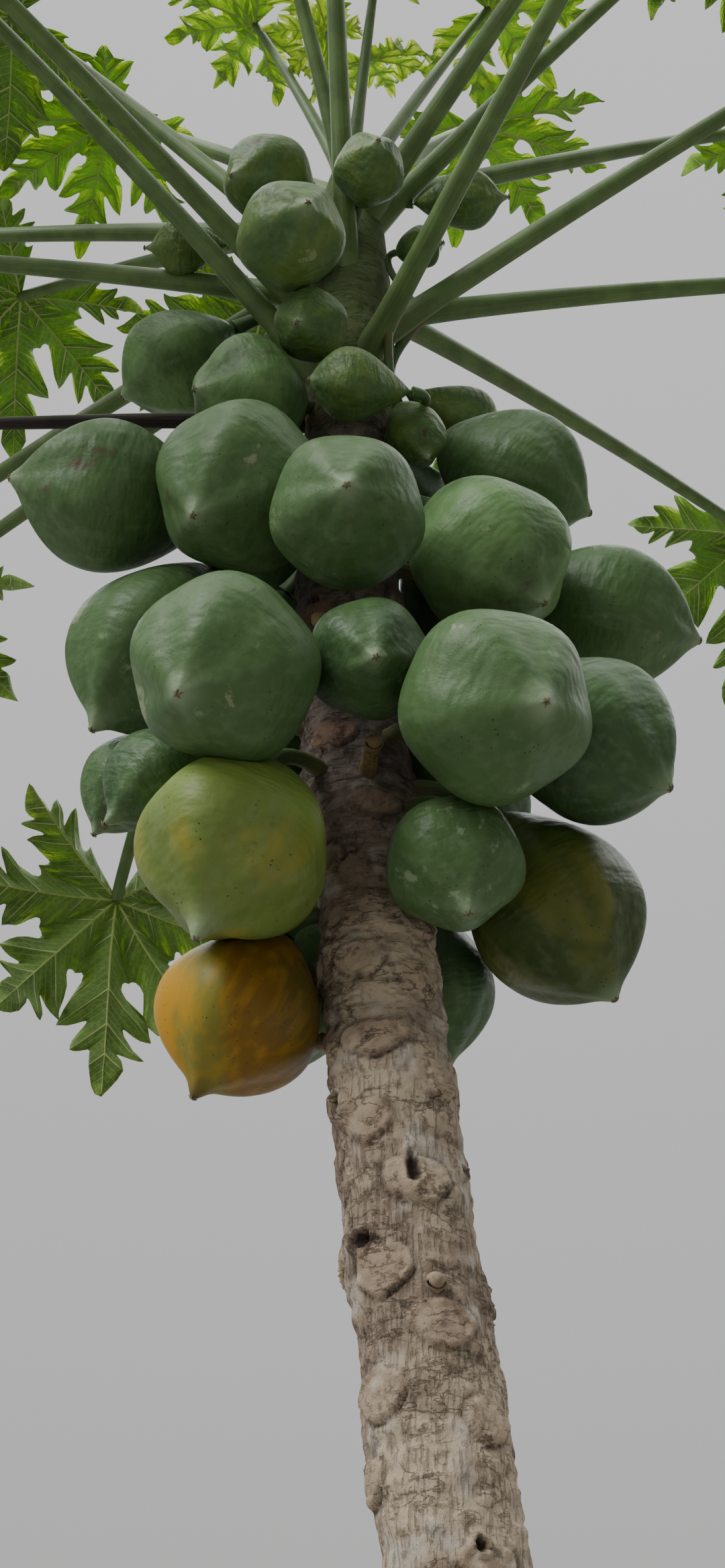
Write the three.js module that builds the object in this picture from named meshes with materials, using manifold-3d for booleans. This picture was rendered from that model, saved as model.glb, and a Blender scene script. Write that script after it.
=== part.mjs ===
// Papaya tree in fruit, rooted in level ground: one leaning stem, a dense cluster of fruit
// under the crown, and a spiral of long-stalked, deeply lobed leaves round the growing tip.
// Millimetres, +Z up. The origin is the centre of the flat cut where the stem meets the
// ground. The tree is looked at from -Y. A bearing of 0 points to -Y and one of 90 to +X.
// A rise is an angle above the horizontal and a hang is an angle below it.

import * as THREE from 'three';
import Module from 'manifold-3d';
import { mergeVertices } from 'three/addons/utils/BufferGeometryUtils.js';

const wasm = await Module();
wasm.setup();

const GAP = 0.35;              // clearance between pieces that touch
const WELD = 0.001;            // corners closer than this are one corner

// Stem
const STEM_TOP = 3690;
const STEM_FOOT_WIDTH = 160;
const STEM_TAPER = 0.0154;     // width lost per millimetre of height
const STEM_SHOULDER = 3380;    // the green growing tip narrows above this height
const STEM_SIDES = 16;
const STEM_STEP = 240;
const FLARE_WIDTH = 90;        // extra width of the root flare at the ground
const FLARE_HEIGHT = 120;      // height in which the flare falls to a third
const FLARE_RIBS = 5;
const FLARE_RIB_DEPTH = 0.14;
// Sideways slope of the stem at four heights; between them it changes evenly
const LEAN = [
  { height: 0, slope: -0.05 },
  { height: 1200, slope: -0.105 },
  { height: 2600, slope: -0.105 },
  { height: 2900, slope: 0 },
];

// Fruit
const FRUIT_DETAIL = { sides: 10, bands: 7 };
const YOUNG_DETAIL = { sides: 8, bands: 5 };
const FRUIT_RIDGES = 5;
const FRUIT_RIDGE_DEPTH = 0.018;
const FRUIT_FULLNESS = 0.72;
const FRUIT_PEAR = 1.22;       // 1 is widest halfway along; more is wider towards the point
const PEDUNCLE_WIDTH = 17;
const PEDUNCLE_RISE = 20;      // how far above the fruit's shoulder its stalk meets the stem

// Leaves
const PETIOLE_ROOT_WIDTH = 44;
const PETIOLE_WIDTH = 32;
const PETIOLE_TIP_WIDTH = 17;
const PETIOLE_SIDES = 5;
const PETIOLE_STEPS = 4;
const PETIOLE_SHORT = 5;       // how far behind the blade's centre the stalk ends
const BLADE_THICKNESS = 6;
const LOBE_BEARINGS = [-128, -80, -38, 0, 38, 80, 128];
const LOBE_LENGTHS = [0.68, 0.86, 0.97, 1, 0.97, 0.86, 0.68];
const SINUS_DEPTH = 0.4;       // how far out the bays between lobes reach
const BASE_SPREAD = 24;        // bearing from the last lobe to the edge of the gap at the stalk
const BASE_DEPTH = 0.3;
// Side lobe's tip and the notch beyond it: share of the turn to the bay, share of the lobe
const SIDE_TIP = { turn: 0.74, out: 0.74 };
const SIDE_NOTCH = { turn: 0.36, out: 0.7 };
const BLADE_NOD = 38;          // how far the blade tips down from the line of its stalk
const BLADE_DROOP = 0.24;      // how far a lobe's tip hangs below the blade's plane
const BLADE_FOLD = 0.08;       // how far the bays stand above the ribs of the lobes

const COLOURS = {
  bark: 0x8c7766,
  greenFruit: 0x5e7a4f,
  turningFruit: 0x7c8a3f,
  ripeFruit: 0xa8742a,
  leaf: 0x4f7a2a,
  deadStalk: 0x2e2426,
};

// Points and directions

function direction(bearing, rise) {
  const b = THREE.MathUtils.degToRad(bearing);
  const r = THREE.MathUtils.degToRad(rise);
  return new THREE.Vector3(Math.sin(b) * Math.cos(r), -Math.cos(b) * Math.cos(r), Math.sin(r));
}

function stemAxis(height) {
  let x = 0;
  for (let i = 0; i + 1 < LEAN.length; i += 1) {
    const low = LEAN[i];
    const high = LEAN[i + 1];
    const top = Math.min(height, high.height);
    if (top > low.height) {
      const share = (top - low.height) / (high.height - low.height);
      const slope = low.slope + (high.slope - low.slope) * share;
      x += (top - low.height) * (low.slope + slope) / 2;
    }
  }
  return new THREE.Vector3(x, 0, height);
}

function stemRadius(height) {
  const plain = (STEM_FOOT_WIDTH - STEM_TAPER * height) / 2;
  const along = Math.max(0, (height - STEM_SHOULDER) / (STEM_TOP - STEM_SHOULDER));
  return plain * Math.sqrt(Math.max(0, 1 - along * along));
}

// Closed shapes

// A closed surface over rings of the same number of points, with a point at each end
function loft(start, rings, end) {
  const sides = rings[0].length;
  const points = [start, ...rings.flat(), end];
  const last = points.length - 1;
  const faces = [];
  for (let k = 0; k < sides; k += 1) {
    const next = (k + 1) % sides;
    faces.push(0, 1 + next, 1 + k);
    for (let ring = 0; ring + 1 < rings.length; ring += 1) {
      const low = 1 + ring * sides;
      const high = low + sides;
      faces.push(low + k, low + next, high + next);
      faces.push(low + k, high + next, high + k);
    }
    faces.push(last - sides + k, last - sides + next, last);
  }
  return new THREE.BufferGeometry().setFromPoints(points).setIndex(faces);
}

// A round limb along a curve; radius is a function of the share of the way along it
function limb(curve, steps, sides, radius) {
  const frames = curve.computeFrenetFrames(steps, false);
  const rings = [];
  for (let i = 0; i <= steps; i += 1) {
    const centre = curve.getPointAt(i / steps);
    const ring = [];
    for (let k = 0; k < sides; k += 1) {
      const turn = 2 * Math.PI * k / sides;
      ring.push(centre.clone()
        .addScaledVector(frames.normals[i], radius(i / steps) * Math.cos(turn))
        .addScaledVector(frames.binormals[i], radius(i / steps) * Math.sin(turn)));
    }
    rings.push(ring);
  }
  return loft(curve.getPointAt(0), rings, curve.getPointAt(1));
}

// The geometry as a solid, with shared corners merged and closed-up triangles dropped
function solid(geometry) {
  const bare = new THREE.BufferGeometry();
  bare.setAttribute('position', geometry.getAttribute('position'));
  bare.setIndex(geometry.getIndex());
  const welded = mergeVertices(bare, WELD);
  const corners = Array.from(welded.getIndex().array);
  const faces = [];
  for (let i = 0; i < corners.length; i += 3) {
    const [a, b, c] = corners.slice(i, i + 3);
    if (a !== b && b !== c && c !== a) {
      faces.push(a, b, c);
    }
  }
  return new wasm.Manifold(new wasm.Mesh({
    numProp: 3,
    vertProperties: new Float32Array(welded.getAttribute('position').array),
    triVerts: new Uint32Array(faces),
  }));
}

function geometryOf(body) {
  const mesh = body.getMesh();
  const geometry = new THREE.BufferGeometry();
  geometry.setAttribute('position', new THREE.BufferAttribute(mesh.vertProperties, 3));
  geometry.setIndex(new THREE.BufferAttribute(mesh.triVerts, 1));
  geometry.computeVertexNormals();
  return geometry;
}

function largestPiece(body) {
  const pieces = body.decompose();
  return pieces.reduce((best, piece) => (piece.volume() > best.volume() ? piece : best));
}

// Stem: level rings on the leaning axis, with a ribbed flare at the foot

function stemSolid(grow) {
  const heights = [0, 30, 75, 140, 230];
  for (let z = 350; z < STEM_SHOULDER; z += STEM_STEP) {
    heights.push(z);
  }
  for (const share of [0, 0.35, 0.6, 0.8, 0.93]) {
    heights.push(STEM_SHOULDER + share * (STEM_TOP - STEM_SHOULDER));
  }
  const rings = heights.map((z) => {
    const centre = stemAxis(z);
    const fall = Math.exp(-z / FLARE_HEIGHT);
    const ring = [];
    for (let k = 0; k < STEM_SIDES; k += 1) {
      const turn = 2 * Math.PI * k / STEM_SIDES;
      const rib = 1 + FLARE_RIB_DEPTH * fall * Math.cos(FLARE_RIBS * turn);
      const radius = (stemRadius(z) + FLARE_WIDTH / 2 * fall) * rib + grow;
      ring.push(new THREE.Vector3(radius * Math.cos(turn), radius * Math.sin(turn), 0).add(centre));
    }
    return ring;
  });
  return solid(loft(stemAxis(0), rings, stemAxis(STEM_TOP + grow)));
}

// Fruit: a five-ridged pear on its stalk, drawn to a small point at the other end

// Where a fruit's widest section is, which way its point faces, and where its shoulder is
function fruitPose({ bearing, reach, height, hang, length, pear = FRUIT_PEAR, facing = bearing }) {
  const centre = stemAxis(height).addScaledVector(direction(bearing, 0), reach);
  const aim = direction(facing, -hang);
  const shoulder = centre.clone().addScaledVector(aim, -length * 0.5 ** (1 / pear));
  return { aim, shoulder };
}

// A level ring is turned from +Y to the fruit's aim, and from there by the least turn to axis
function fruitRing(centre, aim, axis, sides, radius) {
  const lay = new THREE.Quaternion().setFromUnitVectors(new THREE.Vector3(0, 1, 0), aim);
  const bend = new THREE.Quaternion().setFromUnitVectors(aim, axis);
  const ring = [];
  for (let k = 0; k < sides; k += 1) {
    const turn = 2 * Math.PI * k / sides;
    const spoke = new THREE.Vector3(Math.sin(turn), 0, Math.cos(turn));
    const corner = spoke.multiplyScalar(radius(turn)).applyQuaternion(lay).applyQuaternion(bend);
    ring.push(corner.add(centre));
  }
  return ring;
}

function fruitSolid(row, root, detail, grow) {
  const { aim, shoulder } = fruitPose(row);
  const pear = row.pear ?? FRUIT_PEAR;
  const stalk = () => PEDUNCLE_WIDTH / 2 + grow;
  const arrival = shoulder.clone().sub(root).normalize();
  const rings = [
    fruitRing(root, aim, arrival, detail.sides, stalk),
    fruitRing(shoulder, aim, arrival.add(aim).normalize(), detail.sides, stalk),
  ];
  for (let i = 1; i < detail.bands; i += 1) {
    const along = (1 - Math.cos(Math.PI * i / detail.bands)) / 2;
    const swell = row.width / 2 * Math.sin(Math.PI * along ** pear) ** FRUIT_FULLNESS;
    const centre = shoulder.clone().addScaledVector(aim, along * row.length);
    rings.push(fruitRing(centre, aim, aim, detail.sides, (turn) => (
      swell * (1 + FRUIT_RIDGE_DEPTH * Math.cos(FRUIT_RIDGES * turn)) + grow)));
  }
  const point = shoulder.clone().addScaledVector(aim, row.length + grow);
  return solid(loft(root, rings, point));
}

// Leaf stalk: leaves the stem at its rise and bends down evenly by its fall

function petiolePoints({ bearing, height, rise, fall, length }) {
  const steps = 8;
  const start = stemAxis(height);
  const points = [start];
  const reach = length + stemRadius(height);
  for (let i = 0; i < steps; i += 1) {
    const angle = rise - fall * (i + 0.5) / steps;
    points.push(points[i].clone().addScaledVector(direction(bearing, angle), reach / steps));
  }
  return points;
}

function petioleRadius(row, share) {
  const outside = share * (row.length + stemRadius(row.height)) - stemRadius(row.height);
  const plain = PETIOLE_WIDTH + (PETIOLE_TIP_WIDTH - PETIOLE_WIDTH) * share;
  const collar = (PETIOLE_ROOT_WIDTH - PETIOLE_WIDTH) * Math.exp(-Math.max(0, outside) / 30);
  return (plain + collar) / 2 * (row.stout ?? 1);
}

function petiole(row, grow) {
  const points = petiolePoints(row);
  const [before, end] = points.slice(-2);
  end.lerp(before, PETIOLE_SHORT / end.distanceTo(before));
  const curve = new THREE.CatmullRomCurve3(points);
  return limb(curve, PETIOLE_STEPS, PETIOLE_SIDES, (share) => petioleRadius(row, share) + grow);
}

// Leaf blade: seven ribbed lobes round the stalk's end, each with a side lobe on both edges

function bladeOutline() {
  const outline = [];
  const count = LOBE_BEARINGS.length;
  LOBE_BEARINGS.forEach((bearing, lobe) => {
    const before = lobe > 0 ? (bearing - LOBE_BEARINGS[lobe - 1]) / 2 : BASE_SPREAD;
    const after = lobe + 1 < count ? (LOBE_BEARINGS[lobe + 1] - bearing) / 2 : BASE_SPREAD;
    const length = LOBE_LENGTHS[lobe];
    outline.push({ bearing: bearing - before, out: lobe > 0 ? SINUS_DEPTH : BASE_DEPTH, bay: true });
    outline.push({ bearing: bearing - SIDE_TIP.turn * before, out: SIDE_TIP.out * length });
    outline.push({ bearing: bearing - SIDE_NOTCH.turn * before, out: SIDE_NOTCH.out * length });
    outline.push({ bearing, out: length });
    outline.push({ bearing: bearing + SIDE_NOTCH.turn * after, out: SIDE_NOTCH.out * length });
    outline.push({ bearing: bearing + SIDE_TIP.turn * after, out: SIDE_TIP.out * length });
  });
  outline.push({ bearing: LOBE_BEARINGS[count - 1] + BASE_SPREAD, out: BASE_DEPTH, bay: true });
  return outline;
}

// Centre and axes of a blade: forward along the middle lobe, up through the leaf, and across
function bladeFrame(row) {
  const points = petiolePoints(row);
  const centre = points[points.length - 1];
  const rise = row.rise - row.fall - (row.nod ?? BLADE_NOD);
  const forward = direction(row.bearing, rise);
  const up = direction(row.bearing, rise + 90);
  const across = new THREE.Vector3().crossVectors(forward, up);
  return { centre, forward, up, across };
}

function bladeGeometry(row, grow) {
  const { centre, forward, up, across } = bladeFrame(row);
  const outline = bladeOutline();
  const place = (bearing, out, lift) => {
    const turn = THREE.MathUtils.degToRad(bearing);
    const rho = out * row.blade + grow;
    const sink = -BLADE_DROOP * row.blade * out * out;
    return centre.clone()
      .addScaledVector(forward, rho * Math.cos(turn))
      .addScaledVector(across, rho * Math.sin(turn))
      .addScaledVector(up, sink + lift);
  };
  const points = [];
  const faces = [];
  const half = BLADE_THICKNESS / 2 + grow;
  const rim = outline.length;
  const lobes = LOBE_BEARINGS.length;
  for (const side of [half, -half]) {
    points.push(place(0, 0, side));
    for (const { bearing, out, bay } of outline) {
      points.push(place(bearing, out, side + (bay ? BLADE_FOLD * row.blade : 0)));
    }
    LOBE_BEARINGS.forEach((bearing, lobe) => {
      points.push(place(bearing, 0.48 * LOBE_LENGTHS[lobe], side));
    });
  }
  const layer = 1 + rim + lobes;
  LOBE_BEARINGS.forEach((bearing, lobe) => {
    const rib = 1 + rim + lobe;
    const ring = [0];
    for (let i = 0; i <= 6; i += 1) {
      ring.push(1 + 6 * lobe + i);
    }
    ring.forEach((corner, i) => {
      const next = ring[(i + 1) % ring.length];
      faces.push(rib, next, corner);
      faces.push(layer + rib, layer + corner, layer + next);
    });
  });
  const edge = [0];
  for (let i = 1; i <= rim; i += 1) {
    edge.push(i);
  }
  edge.forEach((corner, i) => {
    const next = edge[(i + 1) % edge.length];
    faces.push(corner, next, layer + next);
    faces.push(corner, layer + next, layer + corner);
  });
  return new THREE.BufferGeometry().setFromPoints(points).setIndex(faces);
}

function leafSolid(row, grow) {
  let body = solid(bladeGeometry(row, grow)).add(solid(petiole(row, grow)));
  for (const fruit of row.axil ?? []) {
    body = body.add(fruitSolid(fruit, petiolePoints(row)[1], YOUNG_DETAIL, grow));
  }
  return body;
}

// Large fruit, from the bottom of the cluster to the top. reach is from the stem's axis to
// the middle of the widest section and height is that of the widest section.
const FRUITS = [
  { name: 'fruit_ripe', bearing: -85, reach: 152, height: 2355, hang: 65, width: 174, length: 200,
    skin: 'ripeFruit' },
  { name: 'fruit_turning_left', bearing: -50, reach: 187, height: 2500, hang: 70, width: 200,
    length: 242, skin: 'turningFruit' },
  { name: 'fruit_low_front', bearing: 37, reach: 140, height: 2485, hang: 65, width: 142, length: 180 },
  { name: 'fruit_turning_right', bearing: 95, reach: 198, height: 2500, hang: 60, width: 190,
    length: 260, skin: 'turningFruit' },
  { name: 'fruit_low_back_right', bearing: 152, reach: 135, height: 2460, hang: 65, width: 140,
    length: 190 },
  { name: 'fruit_low_back', bearing: 180, reach: 200, height: 2570, hang: 60, width: 165, length: 225 },
  { name: 'fruit_low_back_left', bearing: -140, reach: 155, height: 2455, hang: 65, width: 168,
    length: 220 },
  { name: 'fruit_mid_right_front', bearing: 30, reach: 268, height: 2595, hang: 30, width: 196,
    length: 245 },
  { name: 'fruit_mid_right', bearing: 70, reach: 268, height: 2650, hang: 45, width: 180, length: 245 },
  { name: 'fruit_mid_left_front', bearing: -30, reach: 270, height: 2640, hang: 45, width: 196,
    length: 240 },
  { name: 'fruit_small_left', bearing: -75, reach: 225, height: 2620, hang: 50, width: 112, length: 165 },
  { name: 'fruit_small_far_left', bearing: -105, reach: 270, height: 2700, hang: 60, width: 102,
    length: 155 },
  { name: 'fruit_mid_front', bearing: 5, reach: 185, height: 2690, hang: 35, width: 128, length: 185 },
  { name: 'fruit_mid_back_right', bearing: 125, reach: 150, height: 2680, hang: 55, width: 158,
    length: 210 },
  { name: 'fruit_mid_back_left', bearing: -155, reach: 175, height: 2720, hang: 50, width: 172,
    length: 230 },
  { name: 'fruit_mid_back', bearing: 152, reach: 182, height: 2815, hang: 50, width: 174, length: 235 },
  { name: 'fruit_left', bearing: -86, reach: 228, height: 2825, hang: 62, width: 186, length: 265 },
  { name: 'fruit_front', bearing: 0, reach: 220, height: 2860, hang: 25, width: 168, length: 225 },
  { name: 'fruit_right', bearing: 60, reach: 188, height: 2900, hang: 55, width: 186, length: 240 },
  { name: 'fruit_far_right', bearing: 95, reach: 312, height: 2908, hang: 15, width: 172, length: 240 },
  { name: 'fruit_back_left', bearing: -130, reach: 180, height: 2890, hang: 45, width: 166, length: 225 },
  { name: 'fruit_back', bearing: 180, reach: 190, height: 2955, hang: 40, width: 166, length: 225 },
  { name: 'fruit_back_right', bearing: 125, reach: 180, height: 2970, hang: 40, width: 162, length: 220 },
  { name: 'fruit_left_front', bearing: -40, reach: 188, height: 2960, hang: 50, width: 196, length: 250 },
  { name: 'fruit_far_left', bearing: -75, reach: 295, height: 3010, hang: 0, width: 180, length: 245 },
  { name: 'fruit_high_back_left', bearing: -150, reach: 175, height: 3090, hang: 35, width: 158,
    length: 210 },
  { name: 'fruit_high_right', bearing: 95, reach: 210, height: 3118, hang: 30, width: 168, length: 220 },
  { name: 'fruit_high_back', bearing: 150, reach: 170, height: 3150, hang: 30, width: 148, length: 200 },
  { name: 'fruit_high_left_front', bearing: -55, reach: 150, height: 3155, hang: 20, width: 146,
    length: 165 },
  { name: 'fruit_high_left', bearing: -98, reach: 228, height: 3325, hang: 35, width: 142, length: 180 },
];

// Leaves, from the oldest and lowest to the youngest. height is where the stalk leaves the
// stem, length is the stalk's and blade is the length of the middle lobe. axil lists the
// young fruit that grow beside the root of the stalk.
const LEAVES = [
  { bearing: -152, height: 3210, rise: 10, fall: 72, length: 790, blade: 300, nod: 20 },
  { bearing: -68, height: 3215, rise: 48, fall: 6, length: 800, blade: 310,
    axil: [{ bearing: -20, reach: 135, height: 3235, hang: 40, width: 91, length: 115 }] },
  { bearing: 30, height: 3250, rise: 25, fall: 5, length: 790, blade: 300,
    axil: [{ bearing: 50, reach: 105, height: 3110, hang: 70, width: 75, length: 125, pear: 1.6 },
      { bearing: 0, reach: 140, height: 3125, hang: 5, width: 88, length: 130, pear: 1.6,
        facing: -75 }] },
  { bearing: 70, height: 3310, rise: 28, fall: 6, length: 800, blade: 300,
    axil: [{ bearing: 50, reach: 120, height: 3425, hang: 25, width: 55, length: 80, pear: 1.5 }] },
  { bearing: -52, height: 3300, rise: 30, fall: 5, length: 780, blade: 300 },
  { bearing: -5, height: 3360, rise: 62, fall: 5, length: 760, blade: 310,
    axil: [{ bearing: -20, reach: 205, height: 3320, hang: 20, width: 132, length: 175 },
      { bearing: 10, reach: 150, height: 3490, hang: 15, width: 90, length: 125 }] },
  { bearing: 98, height: 3370, rise: 18, fall: 8, length: 810, blade: 310,
    axil: [{ bearing: 120, reach: 170, height: 3275, hang: 5, width: 95, length: 145, pear: 1.6 }] },
  { bearing: -97, height: 3405, rise: 18, fall: 8, length: 820, blade: 310,
    axil: [{ bearing: -90, reach: 225, height: 3490, hang: 5, width: 72, length: 105, pear: 1.5 }] },
  { bearing: -120, height: 3420, rise: -14, fall: 6, length: 680, blade: 260, nod: 30 },
  { bearing: 135, height: 3420, rise: 12, fall: 8, length: 870, blade: 300 },
  { bearing: -92, height: 3430, rise: 52, fall: 5, length: 720, blade: 290,
    axil: [{ bearing: -45, reach: 150, height: 3520, hang: 35, width: 115, length: 155 }] },
  { bearing: 172, height: 3440, rise: 24, fall: 10, length: 760, blade: 300,
    axil: [{ bearing: 180, reach: 155, height: 3300, hang: 25, width: 120, length: 160 }] },
  { bearing: -118, height: 3488, rise: -13, fall: 6, length: 880, blade: 290, nod: 30 },
  { bearing: 75, height: 3510, rise: 48, fall: 5, length: 700, blade: 250,
    axil: [{ bearing: 80, reach: 160, height: 3570, hang: 5, width: 80, length: 125, pear: 1.5 }] },
  { bearing: -107, height: 3530, rise: 21, fall: 8, length: 740, blade: 280 },
  { bearing: -165, height: 3530, rise: 40, fall: 8, length: 700, blade: 280,
    axil: [{ bearing: -130, reach: 155, height: 3300, hang: 25, width: 120, length: 160 }] },
  { bearing: 42, height: 3525, rise: 32, fall: 5, length: 650, blade: 250 },
  { bearing: -130, height: 3560, rise: 28, fall: 6, length: 730, blade: 290 },
  { bearing: 110, height: 3585, rise: 36, fall: 6, length: 820, blade: 250 },
  { bearing: -125, height: 3590, rise: 50, fall: 6, length: 650, blade: 250 },
  { bearing: 150, height: 3600, rise: 58, fall: 6, length: 680, blade: 250 },
];

// Young leaves of the tuft: each turns by the spiral's angle, stands steeper and is smaller
const TUFT = {
  count: 6,
  turn: 137.5,
  bearing: -30,
  heights: [3600, 3665],
  rises: [64, 84],
  lengths: [560, 250],
  blades: [210, 110],
};
for (let i = 0; i < TUFT.count; i += 1) {
  const share = i / (TUFT.count - 1);
  LEAVES.push({
    bearing: TUFT.bearing + TUFT.turn * i,
    height: THREE.MathUtils.lerp(...TUFT.heights, share),
    rise: THREE.MathUtils.lerp(...TUFT.rises, share),
    fall: 4,
    length: THREE.MathUtils.lerp(...TUFT.lengths, share),
    blade: THREE.MathUtils.lerp(...TUFT.blades, share),
    stout: 0.8 - 0.3 * share,
  });
}

// Dead leaf stalk that stayed on the stem after its blade fell
const DEAD_STALK = { bearing: -84, height: 3195, rise: -4, fall: 5, length: 520, stout: 0.75 };

function material(colour, roughness) {
  return new THREE.MeshStandardMaterial({ color: COLOURS[colour], roughness, metalness: 0 });
}

// One mesh, whose own origin is at its anchor on the stem
function addMesh(group, name, body, anchor, finish) {
  const geometry = geometryOf(body).translate(-anchor.x, -anchor.y, -anchor.z);
  const mesh = new THREE.Mesh(geometry, finish);
  mesh.name = name;
  mesh.position.copy(anchor);
  group.add(mesh);
}

const tree = new THREE.Group();
const placed = [];

// Cuts a new solid clear of all that is placed already, and keeps its grown copy for the rest
function place(name, make, anchor, finish) {
  let body = make(0);
  const bounds = body.boundingBox();
  for (const other of placed) {
    const apart = [0, 1, 2].some((axis) => other.bounds.max[axis] < bounds.min[axis]
      || other.bounds.min[axis] > bounds.max[axis]);
    if (!apart) {
      body = body.subtract(other.grown);
    }
  }
  const grown = make(GAP);
  placed.push({ grown, bounds: grown.boundingBox() });
  addMesh(tree, name, largestPiece(body), anchor, finish);
}

place('stem', stemSolid, new THREE.Vector3(), material('bark', 0.9));
place(
  'dead_leaf_stalk',
  (grow) => solid(petiole(DEAD_STALK, grow)),
  stemAxis(DEAD_STALK.height),
  material('deadStalk', 0.8),
);
LEAVES.forEach((row, i) => {
  const name = `leaf_${String(i + 1).padStart(2, '0')}`;
  place(name, (grow) => leafSolid(row, grow), stemAxis(row.height), material('leaf', 0.6));
});
for (const row of FRUITS) {
  const { shoulder } = fruitPose(row);
  const root = stemAxis(shoulder.z + PEDUNCLE_RISE);
  const make = (grow) => fruitSolid(row, root, FRUIT_DETAIL, grow);
  place(row.name, make, shoulder, material(row.skin ?? 'greenFruit', 0.5));
}

export default tree;
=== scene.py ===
"""Papaya tree in fruit: bark with leaf scars, five-ridged fruit, long-stalked lobed leaves.

Metres, +Z up, with the origin at the centre of the stem's flat foot. The tree is looked at from
-Y. A bearing of 0 points to -Y and one of 90 to +X. A rise is an angle above the horizontal and
a hang is an angle below it.
"""

import math
from typing import NamedTuple

import bpy
import numpy as np
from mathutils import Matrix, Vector
from mathutils.bvhtree import BVHTree


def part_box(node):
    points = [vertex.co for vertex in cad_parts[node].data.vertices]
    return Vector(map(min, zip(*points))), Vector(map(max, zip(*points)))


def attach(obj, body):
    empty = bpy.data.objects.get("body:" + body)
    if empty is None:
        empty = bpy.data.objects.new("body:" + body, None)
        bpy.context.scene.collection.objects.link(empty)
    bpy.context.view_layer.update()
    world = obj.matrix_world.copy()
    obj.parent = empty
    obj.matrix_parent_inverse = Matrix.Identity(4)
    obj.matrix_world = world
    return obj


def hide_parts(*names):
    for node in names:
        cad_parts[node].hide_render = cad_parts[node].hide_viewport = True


bl_info = {
    "name": "Papaya tree",
    "version": (1, 0, 0),
    "blender": (4, 5, 0),
    "location": "View3D > Sidebar > Papaya tree",
    "description": "Makes the bark, leaves and fruit of a papaya tree round its packed model",
    "category": "Object",
}

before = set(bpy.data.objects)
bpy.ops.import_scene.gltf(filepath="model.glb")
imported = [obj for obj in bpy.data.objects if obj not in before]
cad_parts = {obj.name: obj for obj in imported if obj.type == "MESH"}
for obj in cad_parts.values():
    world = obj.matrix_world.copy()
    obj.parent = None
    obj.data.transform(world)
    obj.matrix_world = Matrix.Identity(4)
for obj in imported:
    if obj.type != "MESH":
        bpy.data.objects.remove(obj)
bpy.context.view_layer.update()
BODY = "root"

# Stem
STEM_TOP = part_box("stem")[1].z
FOOT_WIDTH = 0.160
TAPER = 0.0154                 # width lost per metre of height, in metres
SHOULDER = 3.380               # the green growing tip narrows above this height
FLARE_WIDTH = 0.090
FLARE_HEIGHT = 0.120
FLARE_RIBS = 5
FLARE_RIB_DEPTH = 0.14
LEAN = ((0, -0.05), (1.2, -0.105), (2.6, -0.105), (2.9, 0))
FRUIT_ZONE = 2.60              # the bark is darker above this height, partly its own colour and partly painted shade of the fruit, and its scars broader
BROAD_SCARS = FRUIT_ZONE - 0.05
FOLDED = (2.23, 2.38)          # the bark lies in level folds above these heights
GREEN_TIP = (3.08, 3.30)       # the bark turns green between these heights
SMOOTH_TIP = (3.55, 3.30)      # the relief fades between these heights
SCAR_HEIGHTS = (0.16, 3.42)    # the lowest scar, and where they end
SPIRAL_TURN = 137.5            # bearing from one scar to the next
SCAR_RIM = 0.0012
SCAR_FOLD = 0.0011
SCAR_GROOVE = 0.0020
PIT_DEPTH = 0.0095
GRAIN_DEPTH = 0.0016
KNOT_HEIGHT = 0.010
STEM_SEGMENTS = 150
# Spacing of the stem mesh's rings between heights, closest where the bark is seen from near
RING_STEPS = ((0, 1.32, 0.0105), (1.32, 2.75, 0.0037), (2.75, STEM_TOP, 0.0090))

# Fruit
RIDGES = 5
FULLNESS = 0.72
PEAR = 1.22
PEDUNCLE_WIDTH = 0.017
PEDUNCLE_RISE = 0.020
PRESS_GAP = 0.0002             # left between fruit that press on each other, on either side
FRUIT_DETAIL = (66, 48)        # segments and rings
YOUNG_DETAIL = (40, 28)
STALK_SUNK = 0.024             # how deep a fruit's stalk starts in the stem
YOUNG_STALK_SUNK = 0.020

# Leaves
PETIOLE_ROOT_WIDTH = 0.044
PETIOLE_WIDTH = 0.032
PETIOLE_TIP_WIDTH = 0.017
COLLAR_LENGTH = 0.030
PETIOLE_STEPS = 24
LOBE_BEARINGS = (-128, -80, -38, 0, 38, 80, 128)
LOBE_LENGTHS = (0.68, 0.86, 0.97, 1, 0.97, 0.86, 0.68)
SINUS_DEPTH = 0.4
BASE_SPREAD = 24
BASE_DEPTH = 0.3
FULL_BLADE = 0.3               # length of a full-grown blade
BLADE_NOD = 38
BLADE_DROOP = 0.24
BLADE_FOLD = 0.08
VEIN_SLANT = 45                # angle of the side veins to the rib of their lobe
# Edge of a lobe beyond the bay: share of the rib, and length of the side vein that ends there
LOBE_EDGE = (
    (0, 0.184), (0.03, 0.152), (0.06, 0.137), (0.095, 0.140), (0.125, 0.168), (0.15, 0.212),
    (0.18, 0.256), (0.21, 0.285), (0.245, 0.304), (0.28, 0.322), (0.31, 0.290), (0.34, 0.252),
    (0.365, 0.206), (0.385, 0.162), (0.40, 0.134), (0.415, 0.127), (0.43, 0.142), (0.445, 0.170),
    (0.465, 0.202), (0.49, 0.224), (0.52, 0.240), (0.55, 0.212), (0.575, 0.174), (0.595, 0.130),
    (0.61, 0.098), (0.63, 0.088), (0.66, 0.104), (0.72, 0.112), (0.80, 0.088), (0.88, 0.056),
    (0.95, 0.025), (1, 0),
)
RIB_WIDTH = 0.013              # where a rib starts, on a blade one unit long
VEIN_WIDTH = 0.0084            # the same of a side vein
SIDE_VEINS = (0.28, 0.52, 0.72)
FINE_VEINS = 26                # fine side veins to each unit of the rib
INNER_VEINS = (0.35, 0.7)      # side veins inside the bays, as shares of the rib up to the bay


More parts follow.
